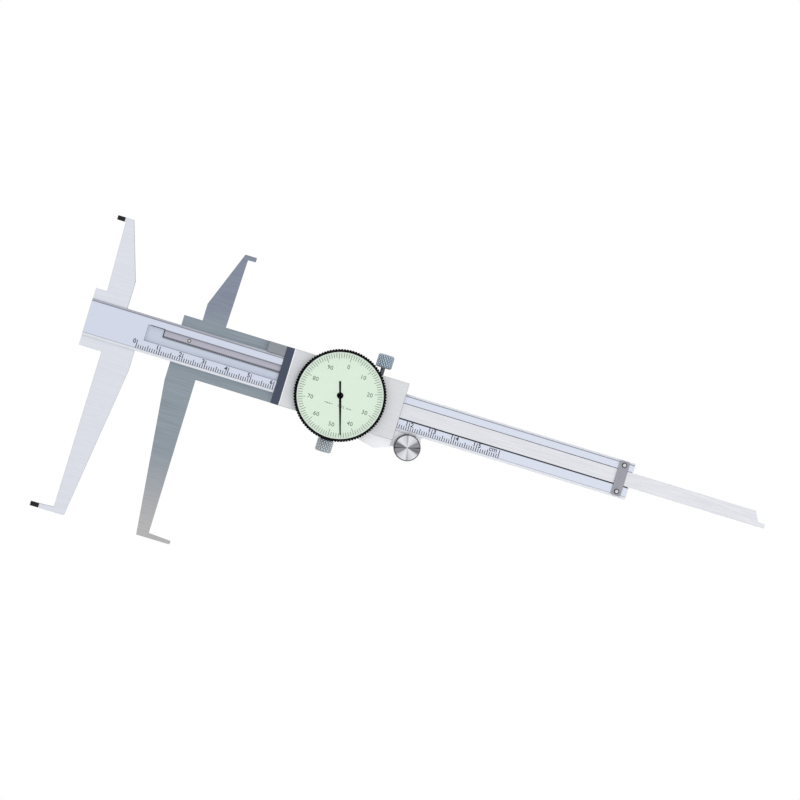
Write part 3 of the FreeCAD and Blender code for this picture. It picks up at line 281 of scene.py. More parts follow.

# Painted shade lines on the beam's front, along its edges and the groove's walls: place and
# half width across it, start and end along it, and how dark they are
BEAM_SHADE_LINES = (
    (7.05, 0.34, 0.0, BEAM_END, 0.75),
    (-6.85, 0.24, 0.0, BEAM_END, 0.45),
    (4.08, 0.26, GROOVE_START, 84.0, 0.45),
    (4.05, 0.22, 84.0, BEAM_END, 0.25),
    (4.18, 0.30, GROOVE_START + 1.0, RACK_START, 0.95),
    (-2.75, 0.26, GROOVE_START, 84.0, 0.50),
    (-2.80, 0.40, 84.0, BEAM_END, 1.3),
)

# Colours that change along the beam, and where each change starts and ends. The groove's
# colour is painted shade, and the bevels' colours are painted reflections
PALE_END = (0.80, 0.83, 0.93)
PALE_FADE = (60, 150)
PALE_SHARE = 0.5
GROOVE_SHADE = (0.61, 0.66, 0.76)
BEVEL_GREY = (0.50, 0.50, 0.55)
BEVEL_HIGHLIGHT = (0.94, 0.96, 1.0)
BEVEL_FADE = (110, 60)


def tint_groove(shader, x, y, z):
    """Painted shade on the groove's floor, with a painted shadow of the rack's teeth."""
    in_groove = shader.within(z, *GROOVE_FLOOR) * shader.within(y, *GROOVE_WALLS)
    shader.tint(in_groove, GROOVE_SHADE)
    teeth_shadow = shader.near(y, *SHADOW_LINE) * shader.within(x, *SHADOW_REACH)
    shader.tint(in_groove * teeth_shadow * SHADOW_DEPTH, SHADE_BLACK)


def tint_bevels(shader, x, y, z):
    """Painted reflections on the bevels: pale, the upper one grey towards the jaws."""
    on_bevel = shader.within(z, *BEVEL_LEVELS) * shader.facing()
    grey = shader.ramp(x, *BEVEL_FADE) * shader.math("GREATER_THAN", y, 0.0)
    shader.tint(on_bevel, shader.blend(grey, BEVEL_HIGHLIGHT, BEVEL_GREY))
    shader.set(Metallic=1.0 - on_bevel)


def beam_steel():
    """Painted bevel reflections, painted groove shade, and painted shade lines at edges and
    walls.
    """
    shader = brushed("beam_steel", (0.69, 0.73, 0.84), contrast=0.07)
    x, y, z = shader.axes()
    shader.tint(shader.ramp(x, *PALE_FADE) * PALE_SHARE, PALE_END)
    tint_groove(shader, x, y, z)
    tint_bevels(shader, x, y, z)
    on_front = shader.math("GREATER_THAN", z, BEVEL_LEVELS[0] * MM)
    for middle, width, start, end, depth in BEAM_SHADE_LINES:
        line = shader.near(y, middle, width) * shader.within(x, start, end)
        shader.tint(line * on_front * depth, SHADE_BLACK)
    return shader


materials["beam_steel"] = beam_steel().material
print("lines drawn on the beam:", len(BEAM_SHADE_LINES))

# %% [markdown]
# ## Jaws, slider and depth bar
# On these pieces the steel is coarser, and its streaks go on through every change of
# colour. So the second colour is streaked by the same noise as the first. The narrow
# sides of the jaws turn away from the light, and a mask on the normal paints shade on them.

# %% Jaws, slider and depth bar
SIDE_SHADE = (0.10, 0.10, 0.12)
SIDE_LIMIT = 0.5

# Where the jaws and the depth bar change colour, across or along the beam
UPPER_JAW = (10, 20)
JAW_END = (-45, -78)
BAR_ROOT = (230, 150)

# The reading edge: its start and its bevel's width, with a painted dark reflection on the
# bevel and a painted highlight line past it
EDGE_START = 84.046
BEVEL_WIDTH = 3.5
BEVEL_END = EDGE_START + BEVEL_WIDTH
HIGHLIGHT_WIDTH = 0.35
EDGE_REFLECTION = (0.15, 0.175, 0.24)
EDGE_HIGHLIGHT = (1.0, 1.0, 1.0)


def dark_sides(shader, amount):
    """Paint shade on the narrow sides, which face neither the front nor the back."""
    side = shader.math("LESS_THAN", shader.facing(), SIDE_LIMIT)
    return shader.tint(side * amount, SIDE_SHADE)


def fixed_jaw_steel():
    shader = brushed("fixed_jaw_steel", (0.76, 0.78, 0.83), roughness=0.42, contrast=0.14)
    return dark_sides(shader, amount=0.6)


def movable_jaw_steel():
    """Darker near the beam, paler at the end of the long jaw."""
    shader = brushed("movable_jaw_steel", (0.30, 0.345, 0.385), contrast=0.42)
    y = shader.axes()[1]
    upper = shader.streaked((0.26, 0.29, 0.36), contrast=0.42)
    shader.tint(shader.ramp(y, *UPPER_JAW), upper)
    end = shader.streaked((0.50, 0.49, 0.49), contrast=0.25)
    shader.tint(shader.ramp(y, *JAW_END), end)
    return dark_sides(shader, amount=0.5)


def slider_steel():
    """Painted dark reflection on the bevelled reading edge, and a painted highlight line where
    the bevel ends.
    """
    shader = brushed("slider_steel", (0.76, 0.77, 0.78), roughness=0.45, contrast=0.16)
    x = shader.axes()[0]
    shader.tint(shader.within(x, 0, BEVEL_END), EDGE_REFLECTION)
    shader.tint(shader.within(x, BEVEL_END, BEVEL_END + HIGHLIGHT_WIDTH), EDGE_HIGHLIGHT)
    return shader


def depth_bar_steel():
    """A little darker where it comes out of the slider."""
    shader = brushed("depth_bar_steel", (0.88, 0.88, 0.97), contrast=0.30)
    x = shader.axes()[0]
    root = shader.streaked((0.82, 0.85, 0.95), contrast=0.3)
    shader.tint(shader.ramp(x, *BAR_ROOT), root)
    return shader


for make in (fixed_jaw_steel, slider_steel, depth_bar_steel, movable_jaw_steel):
    materials[make.__name__] = make().material
print("steels so far:", len(materials))

# %% [markdown]
# ## Rack, arbors and screws
# Small pieces gather shadow: a rack between its teeth, a screw round its head. The
# render's soft light shows little of that, so the same kind of mask draws it. For a
# screw the mask is the distance from the nearest screw's middle.

# %% Rack, arbors and screws
# Where painted shade falls on the rack, from its start to its darkest, and how dark it gets
TOOTH_GAPS = (1.6, 1.25)
GAP_DEPTH = 0.7
WALL_SIDE = (3.55, 3.75)
WALL_DEPTH = 0.35
NEAR_END = (RACK_START + 0.1, RACK_START - 0.1)
END_DEPTH = 0.9

FACE_TOP = 9.1
BOSS_BLACK = (0.003, 0.003, 0.003)

# Middles of the screws, and the ring of painted shade as parts of their radius
STOP_SCREWS = ((235.89, 6.0), (235.89, -5.6))
RACK_SCREWS = ((43.9, 2.6), (185.9, 2.6))
RING_START = 0.55
RING_END = 0.75
RING_DEPTH = 0.95


def rack_steel():
    """Painted shade in the tooth gaps, along the groove's wall and at the near end."""
    shader = brushed("rack_steel", (0.50, 0.49, 0.56), roughness=0.45, contrast=0.2)
    x, y = shader.axes()[:2]
    shader.tint(shader.ramp(y, *TOOTH_GAPS) * GAP_DEPTH, SHADE_BLACK)
    shader.tint(shader.ramp(y, *WALL_SIDE) * WALL_DEPTH, SHADE_BLACK)
    shader.tint(shader.ramp(x, *NEAR_END) * END_DEPTH, SHADE_BLACK)
    return shader


def arbor_steel():
    """Bright arbors; the hand's boss above the dial is blackened."""
    shader = brushed("arbor_steel", (0.60, 0.60, 0.62), UPRIGHT, roughness=0.30, contrast=0.08)
    z = shader.axes()[2]
    return shader.tint(shader.math("GREATER_THAN", z, FACE_TOP * MM), BOSS_BLACK)


def ringed_screw(name, colour, centres, radius):
    """Screw heads with a ring of painted shade at their edge."""
    shader = brushed(name, colour, roughness=0.35)
    x, y = shader.axes()[:2]
    nearest = None
    for across, up in centres:
        left = x - across * MM
        high = y - up * MM
        out = shader.math("SQRT", left * left + high * high)
        nearest = out if nearest is None else shader.math("MINIMUM", nearest, out)
    ring = shader.ramp(nearest, radius * RING_START, radius * RING_END)
    return shader.tint(ring * RING_DEPTH, SHADE_BLACK)


def stop_screw_steel():
    return ringed_screw("stop_screw_steel", (0.70, 0.70, 0.70), STOP_SCREWS, radius=1.1)


def rack_screw_steel():
    return ringed_screw("rack_screw_steel", (0.62, 0.60, 0.52), RACK_SCREWS, radius=0.8)


for make in (rack_steel, arbor_steel, stop_screw_steel, rack_screw_steel):
    materials[make.__name__] = make().material
print("steels in all:", len(materials))

# %% [markdown]
# ## Blacks, brass, inks and the dial
# These surfaces have no grain. Soft mottling in colour and roughness keeps them from
# looking like plastic. The crystal is clear and black under its gloss, so that it adds
# a reflection and no grey veil to the dial.

# %% Even finishes
MOTTLE_SCALE = (900.0, 900.0, 900.0)
MOTTLE_ROUGHNESS = 0.1

# Colour, roughness, metallic, mottling and gloss
PLAIN = {
    "hard_tip": ((0.014, 0.012, 0.014), 0.45, 0.3, 0.2, 0.3),
    "brass_screw": ((0.62, 0.48, 0.22), 0.35, 1.0, 0.1, 0.5),
    "gib_bronze": ((0.50, 0.32, 0.14), 0.4, 1.0, 0.1, 0.5),
    "gear_brass": ((0.70, 0.52, 0.20), 0.3, 1.0, 0.1, 0.5),
    "case_black": ((0.010, 0.010, 0.011), 0.5, 0.0, 0.1, 0.25),
    "bezel_black": ((0.002, 0.002, 0.002), 0.5, 0.0, 0.1, 0.04),
    "hand_black": ((0.002, 0.002, 0.002), 0.5, 0.0, 0.1, 0.04),
    "scale_ink": ((0.02, 0.02, 0.03), 0.6, 0.0, 0.1, 0.5),
    "dial_ink": ((0.05, 0.065, 0.05), 0.7, 0.0, 0.1, 0.5),
    "dial_green": ((0.24, 0.28, 0.235), 0.6, 0.0, 0.01, 0.5),
    "crystal_rim": ((0.88, 0.97, 0.90), 0.4, 0.0, 0.02, 0.5),
}


def plain(name, colour, roughness, metallic, mottle, gloss):
    """Even finish with a little mottling in colour and roughness."""
    shader = Shader(name)
    cloud = shader.noise(MOTTLE_SCALE)
    tone = shader.blend(cloud, shade(colour, 1 - mottle), shade(colour, 1 + mottle))
    shader.set(Base_Color=tone, Metallic=metallic)
    rough = cloud * MOTTLE_ROUGHNESS + (roughness - MOTTLE_ROUGHNESS / 2)
    return shader.set(Roughness=rough, Specular_IOR_Level=gloss)


shaders = {name: plain(name, *look) for name, look in PLAIN.items()}
for name, shader in shaders.items():
    materials[name] = shader.material

# The pale dial lights itself a little, so that the deep bezel doesn't shade its rim
DIAL_GLOW = (0.72, 0.86, 0.72, 1.0)
shaders["dial_green"].set(Emission_Color=DIAL_GLOW, Emission_Strength=0.81)

crystal = Shader("crystal_clear")
crystal.set(Base_Color=(0.0, 0.0, 0.0, 1.0), Roughness=0.02, IOR=1.45)
crystal.set(Alpha=0.05, Specular_IOR_Level=0.5)
materials["crystal_clear"] = crystal.material
print("finishes:", len(materials))

# %% [markdown]
# ## Knurled screws
# The heads of both thumb screws carry a diamond knurl, which a rolling tool presses
# in. It is two sets of slanted ridges that cross. Each set is a sine of the angle round
# the head plus or minus the way along it, and their product gives the diamonds.

# %% Knurl and thread
KNURL_RIDGES = 18
KNURL_PITCH = 1.7
KNURL_DEPTH = 0.25
RIM_START = 3.35
THREAD_PITCH = 0.6
THREAD_SHADE = (0.02, 0.025, 0.03)
THREAD_HIGHLIGHT = (0.25, 0.28, 0.32)
SATIN_GREY = (0.50, 0.52, 0.55)

# Painted shade in a knurl's valleys and painted highlight on its points, as tones of the
# colour
VALLEY_SHADE = 0.42
POINT_HIGHLIGHT = 1.6


def threaded(shader, y, head_start):
    """Painted shade and highlight rings on the neck, for its thread, between the slider and
    the head.
    """
    thread = shader.math("SINE", y * (2 * math.pi / (THREAD_PITCH * MM))) * 0.5 + 0.5
    on_neck = shader.math("LESS_THAN", shader.math("ABSOLUTE", y), head_start * MM)
    return shader.tint(on_neck, shader.blend(thread, THREAD_SHADE, THREAD_HIGHLIGHT))


def knurled(name, colour, axis_x, axis_z, head_start):
    """Diamond knurl on a round head along Y, over a threaded neck.

    axis_x and axis_z place the head's axis, and head_start is the head's distance from
    the beam's middle line.
    """
    shader = Shader(name)
    x, y, z = shader.axes()
    left = x - axis_x * MM
    high = z - axis_z * MM
    turn = shader.math("ARCTAN2", high, left) * (KNURL_RIDGES / 2)
    climb = y * (math.pi / (KNURL_PITCH * MM))
    first = shader.math("ABSOLUTE", shader.math("SINE", turn + climb))
    second = shader.math("ABSOLUTE", shader.math("SINE", turn - climb))
    diamonds = first * second
    out = shader.math("SQRT", left * left + high * high)
    on_rim = shader.math("GREATER_THAN", out, RIM_START * MM)
    # The diamonds' colour is painted shade in the valleys and painted highlight on the points
    tone = shader.blend(diamonds, shade(colour, VALLEY_SHADE), shade(colour, POINT_HIGHLIGHT))
    shader.set(Base_Color=shader.blend(on_rim, SATIN_GREY, tone))
    shader.set(Metallic=0.6, Roughness=0.38)
    shader.bump(diamonds * on_rim, 1.0, KNURL_DEPTH * MM)
    return threaded(shader, y, head_start)


lock = knurled(
    "lock_knurl", (0.43, 0.53, 0.64), axis_x=125.546, axis_z=0.0, head_start=15.55,
)
# The clamp screw is the same steel as the lock screw, painted brighter to make up for the
# bezel's shade over it
clamp = knurled(
    "clamp_knurl", (0.58, 0.70, 0.82), axis_x=111.146, axis_z=1.8, head_start=20.0,
)
materials["lock_knurl"] = lock.material
materials["clamp_knurl"] = clamp.material
print("knurled screws: 2")

# %% [markdown]
# ## The roller's turned face
# A lathe leaves rings so fine that light fans out from the centre in bright and dark
# sectors. Here those sectors are a painted reflection: they follow the angle round the
# centre, sharpened by a steep ramp, and two thin painted dark lines cross there. The rim
# has its own fine knurl.

# %% Turned face
ROLLER_GREY = (0.42, 0.42, 0.44)
ROLLER_CENTRE = (144.996, -13.8)
ROLLER_RIM = 5.25
RING_PITCH = 0.12
RIM_RIDGES = 80

# The painted dark line of the fan, as an angle from the beam
FAN_TURN = math.radians(15)
FAN_SHADE = (0.05, 0.04, 0.05)

# Where the sine of the angle turns bright, how steeply, and the share of the ripples
SECTOR_START = 0.42
SECTOR_SLOPE = 4.5
RIPPLE_COUNT = 6
RIPPLE_START = 0.6
RIPPLE_SHARE = 0.22

# Half widths of the two thin painted dark lines, as sines, and how dark they are
FAN_LINE = 0.07
FAN_LINE_DEPTH = 0.8
CROSS_LINE = 0.08
CROSS_LINE_DEPTH = 0.5

# Relief of the rim's ridges and of the rings, against the depth of the bump
RIM_RELIEF = 5
RING_RELIEF = 0.05
TURNED_STRENGTH = 0.6
TURNED_DEPTH = 0.05


def fan_of_light(shader, angle, rise):
    """Painted reflection: dark near the fan's own line, bright across it, with soft ripples.
    """
    ripple = shader.math("SINE", angle * RIPPLE_COUNT + RIPPLE_START) * 0.5 + 0.5
    sectors = shader.math("MULTIPLY", rise - SECTOR_START, SECTOR_SLOPE, clamped=True)
    light = sectors * (1 - RIPPLE_SHARE) + ripple * RIPPLE_SHARE
    return shader.blend(light, shade(ROLLER_GREY, 0.44), shade(ROLLER_GREY, 1.9))


def turned_face(name):
    """Face turned on a lathe: fine rings, a painted fan of reflected light, and a knurled rim.
    """
    shader = Shader(name)
    x, y = shader.axes()[:2]
    left = x - ROLLER_CENTRE[0] * MM
    high = y - ROLLER_CENTRE[1] * MM
    out = shader.math("SQRT", left * left + high * high)
    angle = shader.math("ARCTAN2", high, left) - FAN_TURN
    rise = shader.math("ABSOLUTE", shader.math("SINE", angle))
    upright = shader.math("ABSOLUTE", shader.math("COSINE", angle))
    ridges = shader.math("ABSOLUTE", shader.math("SINE", angle * (RIM_RIDGES / 2)))
    rings = shader.math("SINE", out * (2 * math.pi / (RING_PITCH * MM)))
    on_rim = shader.math("GREATER_THAN", out, ROLLER_RIM * MM)
    rim = shader.blend(ridges, shade(ROLLER_GREY, 0.2), shade(ROLLER_GREY, 0.6))
    shader.set(Base_Color=shader.blend(on_rim, fan_of_light(shader, angle, rise), rim))
    shader.set(Metallic=1.0, Roughness=0.35)
    on_cross = shader.math("LESS_THAN", upright, CROSS_LINE)
    shader.tint(on_cross * CROSS_LINE_DEPTH, shade(ROLLER_GREY, 0.5))
    on_line = shader.math("LESS_THAN", rise, FAN_LINE)
    shader.tint(on_line * FAN_LINE_DEPTH, FAN_SHADE)
    relief = ridges * on_rim * RIM_RELIEF + rings * RING_RELIEF
    shader.bump(relief, TURNED_STRENGTH, TURNED_DEPTH * MM)
    return shader


materials["roller_knurl"] = turned_face("roller_knurl").material
print("finishes in all:", len(materials))

# %% [markdown]
# ## Giving every piece its finish
# The record names one material for each piece, and most finishes carry that name. A few
# pieces look unlike the others of their material, and have a finish of their own. The
# meshes stay untouched: the finish is put on the object, over the mesh's own slot.

# %% Give every piece its finish
OWN_FINISH = {
    "upper_rail": "rail_steel",
    "lower_rail": "rest_steel",
    "lock_screw": "lock_knurl",
    "bezel_clamp_screw": "clamp_knurl",
    "thumb_roller": "roller_knurl",
    "roller_bracket": "rest_steel",
    "stop_plate_screws": "stop_screw_steel",
    "rack_screws": "rack_screw_steel",
}


def dress(piece, name):
    """Give a piece one of the finishes above."""
    material = materials[name]
    if piece.material_slots:
        for slot in piece.material_slots:
            slot.link = "OBJECT"
            slot.material = material
    else:
        piece.data.materials.append(material)


for part in frame["record"]["subparts"]:
    name = part["node"]
    dress(nodes[name], OWN_FINISH.get(name, part["material_slot"]))
print("pieces dressed:", len(nodes))

# %% [markdown]
# ## Eased edges
# Real ground edges are never quite sharp, and a narrow bevel catches the light along
# them. A modifier cuts it while rendering, so the piece's own mesh stays as it is. The
# mesh is loose triangles, so a weld joins them first.

# %% Ease the edges
EASED = {
    "main_beam": 0.12,
    "fixed_jaw_plate": 0.14,
    "slider_jaw_plate": 0.14,
    "fixed_jaw_tips": 0.10,
    "upper_rail": 0.12,
    "lower_rail": 0.15,
    "front_plate": 0.12,
    "depth_bar": 0.10,
    "roller_bracket": 0.12,
    "rack": 0.03,
}
WELD_REACH = 0.0005
SHARP_ANGLE = math.radians(25)


def ease(piece, width):
    """Join the loose triangles and bevel the sharp edges, without changing the mesh."""
    weld = piece.modifiers.new("weld", "WELD")
    weld.merge_threshold = WELD_REACH * MM
    bevel = piece.modifiers.new("ease", "BEVEL")
    bevel.width = width * MM
    bevel.segments = 2
    bevel.limit_method = "ANGLE"
    bevel.angle_limit = SHARP_ANGLE
    bevel.harden_normals = True


for name, width in EASED.items():
    ease(nodes[name], width)
print("eased:", len(EASED))

# %% [markdown]
# ## Lines in rows and rings
# Engraved and printed lines are filled with dark paint, level with the surface. A
# pattern in a material would blur once it is baked to an image, so each line is a thin
# bar. An array repeats it, along the beam or about the dial's centre, and the bars of
# one kind are joined.


# %% Bars, rows and rings
def only(piece):
    """Select one piece and nothing else."""
    bpy.ops.object.select_all(action="DESELECT")
    piece.select_set(True)
    bpy.context.view_layer.objects.active = piece


def bar(name, left, low, right, high, bottom, thickness):
    """Thin box with its place in its mesh."""
    bpy.ops.object.select_all(action="DESELECT")
    bpy.ops.mesh.primitive_cube_add(size=1.0)
    piece = bpy.context.object
    piece.name = name
    bpy.ops.object.mode_set(mode="EDIT")
    bpy.ops.transform.resize(
        value=((right - left) * MM, (high - low) * MM, thickness * MM),
    )
    bpy.ops.transform.translate(
        value=((left + right) / 2 * MM, (low + high) / 2 * MM, (bottom + thickness / 2) * MM),
    )
    bpy.ops.object.mode_set(mode="OBJECT")
    return piece


def apply_all(piece):
    """Turn a piece's modifiers into mesh."""
    only(piece)
    for modifier in list(piece.modifiers):
        bpy.ops.object.modifier_apply(modifier=modifier.name)
    return piece


def repeat_along(piece, count, step):
    """Array along the beam."""
    array = piece.modifiers.new("row", "ARRAY")
    array.count = count
    array.use_relative_offset = False
    array.use_constant_offset = True
    array.constant_offset_displace = (step * MM, 0.0, 0.0)
    return apply_all(piece)


def repeat_around(piece, count, centre):
    """Array about an upright axis through centre, clockwise."""
    middle = Vector((centre[0] * MM, centre[1] * MM, 0.0))
    piece.data.transform(Matrix.Translation(-middle))
    hub = bpy.data.objects.new("hub", None)
    bpy.context.collection.objects.link(hub)
    hub.rotation_euler.z = -2 * math.pi / count
    array = piece.modifiers.new("ring", "ARRAY")
    array.count = count
    array.use_relative_offset = False
    array.use_object_offset = True
    array.offset_object = hub
    bpy.context.view_layer.update()
    apply_all(piece)
    bpy.data.objects.remove(hub)
    piece.data.transform(Matrix.Translation(middle))
    return piece


def join(name, pieces):
    """Join pieces into the first one, under a new name."""
    bpy.ops.object.select_all(action="DESELECT")
    for piece in pieces:
        piece.select_set(True)
    bpy.context.view_layer.objects.active = pieces[0]
    bpy.ops.object.join()
    pieces[0].name = name
    return pieces[0]


print("bars, rows and rings ready")

# %% [markdown]
# ## Numerals
# A numeral starts as a text object, with its font's own outline. It is made a mesh
# before it is placed, and is then scaled by its measured height, because fonts leave
# unequal room round each character.

# %% Text as a thin mesh
PRINT = 0.02
CURVE_STEPS = 3


def middle_and_height(piece):
    """Middle of the mesh's own box, and the box's height."""
    corners = [vertex.co for vertex in piece.data.vertices]
    low = Vector([min(corner[axis] for corner in corners) for axis in range(3)])
    high = Vector([max(corner[axis] for corner in corners) for axis in range(3)])
    return (low + high) / 2, high.y - low.y


def written(text, height, middle, bottom, weight=0.0, spacing=1.0):
    """Text of a height round a middle; weight thickens its strokes."""
    bpy.ops.object.select_all(action="DESELECT")
    bpy.ops.object.text_add()
    piece = bpy.context.object
    piece.data.body = text
    piece.data.extrude = PRINT / 2
    piece.data.offset = weight
    piece.data.space_character = spacing
    piece.data.resolution_u = CURVE_STEPS
    bpy.ops.object.convert(target="MESH")
    piece = bpy.context.object
    centre, size = middle_and_height(piece)
    factor = height * MM / size
    aim = Vector((middle[0] * MM, middle[1] * MM, (bottom + PRINT / 2) * MM))
    shrink = Matrix.Diagonal((factor, factor, MM, 1.0))
    piece.data.transform(Matrix.Translation(aim) @ shrink @ Matrix.Translation(-centre))
    return piece


print("text ready")

# %% [markdown]
# ## The scale on the beam
# The beam is engraved with a line every millimetre, a longer one every 5 mm, and the
# longest at each centimetre's numeral. Three rows of bars make them, because one row
# for each length needs no choice from line to line.

# %% Beam scale
SCALE_ZERO = 23.14
SCALE_LENGTH = 160
SCALE_FOOT = -6.8
BEAM_FRONT = 2.0
LINE = 0.31

# Step along the beam and length of each kind of line
LINES = ((1, 1.6), (5, 2.3), (10, 3.5))

NUMERAL_HEIGHT = 1.95
NUMERAL_Y = -4.0
NUMERAL_WEIGHT = 0.02

# A numeral's first digit stands left of its line and its second digit right of it
DIGIT_SHIFTS = (-1.15, 1.15)

# The unit stands before the last line, a little below the numerals
UNIT_HEIGHT = 1.45
UNIT_SHIFT = -2.9
UNIT_DROP = 0.1
UNIT_WEIGHT = 0.01


def scale_lines():
    """One row of bars for each kind of line."""
    rows = []
    for step, length in LINES:
        row = bar(
            f"scale_line_{step}", SCALE_ZERO - LINE / 2, SCALE_FOOT, SCALE_ZERO + LINE / 2,
            SCALE_FOOT + length, BEAM_FRONT, PRINT,
        )
        rows.append(repeat_along(row, SCALE_LENGTH // step + 1, step))
    return join("scale_lines", rows)


def scale_numerals():
    """A numeral for every centimetre, and the unit."""
    numerals = []
    for number in range(SCALE_LENGTH // 10):
        for digit, shift in zip(str(number), DIGIT_SHIFTS):
            middle = (SCALE_ZERO + number * 10 + shift, NUMERAL_Y)
            digit_mesh = written(digit, NUMERAL_HEIGHT, middle, BEAM_FRONT, NUMERAL_WEIGHT)
            numerals.append(digit_mesh)
    middle = (SCALE_ZERO + SCALE_LENGTH + UNIT_SHIFT, NUMERAL_Y - UNIT_DROP)
    numerals.append(written("cm", UNIT_HEIGHT, middle, BEAM_FRONT, UNIT_WEIGHT))
    return join("scale_numerals", numerals)


for piece in (scale_lines(), scale_numerals()):
    dress(piece, "scale_ink")
    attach(piece, "beam")
    print(piece.name, len(piece.data.polygons), "faces")

# %% [markdown]
# ## The bezel's beads
# The bezel is turned by hand, so its rim has a hundred rounded ridges to grip. The
# frame's ridges are plain, with few faces. A bead over each rounds it: one small
# cylinder with bevelled ends, repeated about the dial's centre.

# %% Bezel beads
DIAL_CENTRE = (111.146, -0.9)
BEAD_COUNT = 100
BEAD_CIRCLE = 19.05
BEAD_RADIUS = 0.54
BEAD_SPAN = (6.0, 10.65)
BEAD_SIDES = 12
BEAD_ROUNDING = 0.2


def upright_cylinder(name, x, y, radius, bottom, top, sides):
    """Cylinder along Z with its place in its mesh."""
    bpy.ops.object.select_all(action="DESELECT")
    bpy.ops.mesh.primitive_cylinder_add(
        vertices=sides, radius=radius * MM, depth=(top - bottom) * MM, location=(0, 0, 0),
    )
    piece = bpy.context.object
    piece.name = name
    bpy.ops.object.mode_set(mode="EDIT")
    bpy.ops.transform.translate(value=(x * MM, y * MM, (bottom + top) / 2 * MM))
    bpy.ops.object.mode_set(mode="OBJECT")
    return piece


def bezel_beads():
    """Round beads over the bezel's ridges, one for each."""
    x, y = DIAL_CENTRE
    bead = upright_cylinder(
        "bezel_beads", x, y + BEAD_CIRCLE, BEAD_RADIUS, *BEAD_SPAN, BEAD_SIDES,
    )
    only(bead)
    bevel = bead.modifiers.new("round", "BEVEL")
    bevel.width = BEAD_ROUNDING * MM
    bevel.segments = 2
    return repeat_around(apply_all(bead), BEAD_COUNT, DIAL_CENTRE)


beads = bezel_beads()
dress(beads, "bezel_black")
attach(beads, "bezel")
print("beads", len(beads.data.polygons), "faces")

# %% [markdown]
# ## The hand
# The hand is a thin tapered blade with a short tail that widens, on a round boss. The
# frame's hand is sturdier, so this one takes its place. Blade and tail are the same
# shape with other sizes: a thin bar, with one end scaled narrower or wider.

# %% The hand
HAND_BOTTOM = 9.55
HAND_HEIGHT = 0.25

# Length, and half width at the centre and at the end
BLADE = (16.6, 0.54, 0.27)
TAIL = (6.05, 0.36, 0.46)

BOSS_RADIUS = 1.4
BOSS_HEIGHT = 0.6
BOSS_SIDES = 48

# The hand turns once in two millimetres, clockwise from the dial's top
READING = 60.906
READING_PER_TURN = 2.0
HAND_TURN = math.radians(90 - READING % READING_PER_TURN / READING_PER_TURN * 360)


def taper(piece, start, factor):
    """Scale the corners past start across the beam, and leave the others."""
    only(piece)
    bpy.ops.object.mode_set(mode="EDIT")
    bpy.ops.mesh.select_mode(type="VERT")
    bpy.ops.mesh.select_all(action="DESELECT")
    bpy.ops.object.mode_set(mode="OBJECT")
    for vertex in piece.data.vertices:
        vertex.select = vertex.co.x > start * MM
    bpy.ops.object.mode_set(mode="EDIT")
    bpy.ops.transform.resize(value=(1.0, factor, 1.0), center_override=(0, 0, 0))
    bpy.ops.object.mode_set(mode="OBJECT")


def hand_blade(length, half_root, half_end, turn):
    """Thin tapered blade from the dial's centre, turned to its reading."""
    blade = bar("hand_blade", 0.0, -half_root, length, half_root, HAND_BOTTOM, HAND_HEIGHT)
    taper(blade, length / 2, half_end / half_root)
    x, y = DIAL_CENTRE
    turned = Matrix.Rotation(turn, 4, "Z")
    blade.data.transform(Matrix.Translation((x * MM, y * MM, 0.0)) @ turned)
    return blade


def hand():
    """The hand's blade, tail and boss in one piece."""
    blade = hand_blade(*BLADE, HAND_TURN)
    tail = hand_blade(*TAIL, HAND_TURN + math.pi)
    boss_top = HAND_BOTTOM + BOSS_HEIGHT
    boss = upright_cylinder(
        "boss", *DIAL_CENTRE, BOSS_RADIUS, HAND_BOTTOM, boss_top, BOSS_SIDES,
    )
    return join("hand", [blade, tail, boss])


pointer = hand()
dress(pointer, "hand_black")
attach(pointer, "hand")
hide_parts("pointer")
print("hand", len(pointer.data.polygons), "faces")

# %% [markdown]
# ## The crystal's edge
# Light that enters the crystal leaves it at its rim, as a bright line inside the bezel.
# Real refraction would cost a long render, so a thin pale ring stands for it.

# %% Crystal edge
EDGE_CIRCLE = 18.08
EDGE_THICKNESS = 0.14
EDGE_LEVEL = 11.3


def crystal_edge():
    """Bright ring where light leaves the crystal's edge."""
    x, y = DIAL_CENTRE
    bpy.ops.object.select_all(action="DESELECT")
    bpy.ops.mesh.primitive_torus_add(
        major_radius=EDGE_CIRCLE * MM, minor_radius=EDGE_THICKNESS * MM, major_segments=128,
        minor_segments=8, location=(0.0, 0.0, 0.0),
    )
    ring = bpy.context.object
    ring.name = "crystal_edge"
    ring.data.transform(Matrix.Translation((x * MM, y * MM, EDGE_LEVEL * MM)))
    return ring


edge = crystal_edge()
dress(edge, "crystal_rim")
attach(edge, "bezel")
print("crystal's edge", len(edge.data.polygons), "faces")

# %% [markdown]
# ## The dial's print
# The dial has a hundred divisions of 0.02 mm, with longer lines at 5 and 10. Its
# numerals go by tens and all stand upright, so each is placed on its circle and not
# turned with it. The print rides the bezel, which turns the dial to its zero.

# %% Dial print
# Count, start and width of each kind of line, which all end on one circle. A division's
# turn is in degrees
DIVISIONS = ((100, 15.8, 0.17), (20, 15.3, 0.17), (10, 14.6, 0.17))
DIVISION_END = 17.7

DIAL_NUMERAL_HEIGHT = 1.75
DIAL_SPACING = 1.05
NUMERAL_CIRCLE = 12.5
NUMERAL_STEP = 10
DIVISION_TURN = 3.6

# The mark for one division, below the centre: start, end and point of both arrows, and
# the words' height, spacing and shift along the beam
MARK_DROP = 4.3
ARROWS = ((-5.7, -4.4, -4.0), (-1.9, -3.2, -3.6))
ARROW_SIZE = 0.4
SHAFT_HALF = 0.08
WORDS_HEIGHT = 1.0
WORDS_SPACING = 1.2
WORDS_SHIFT = 3.2


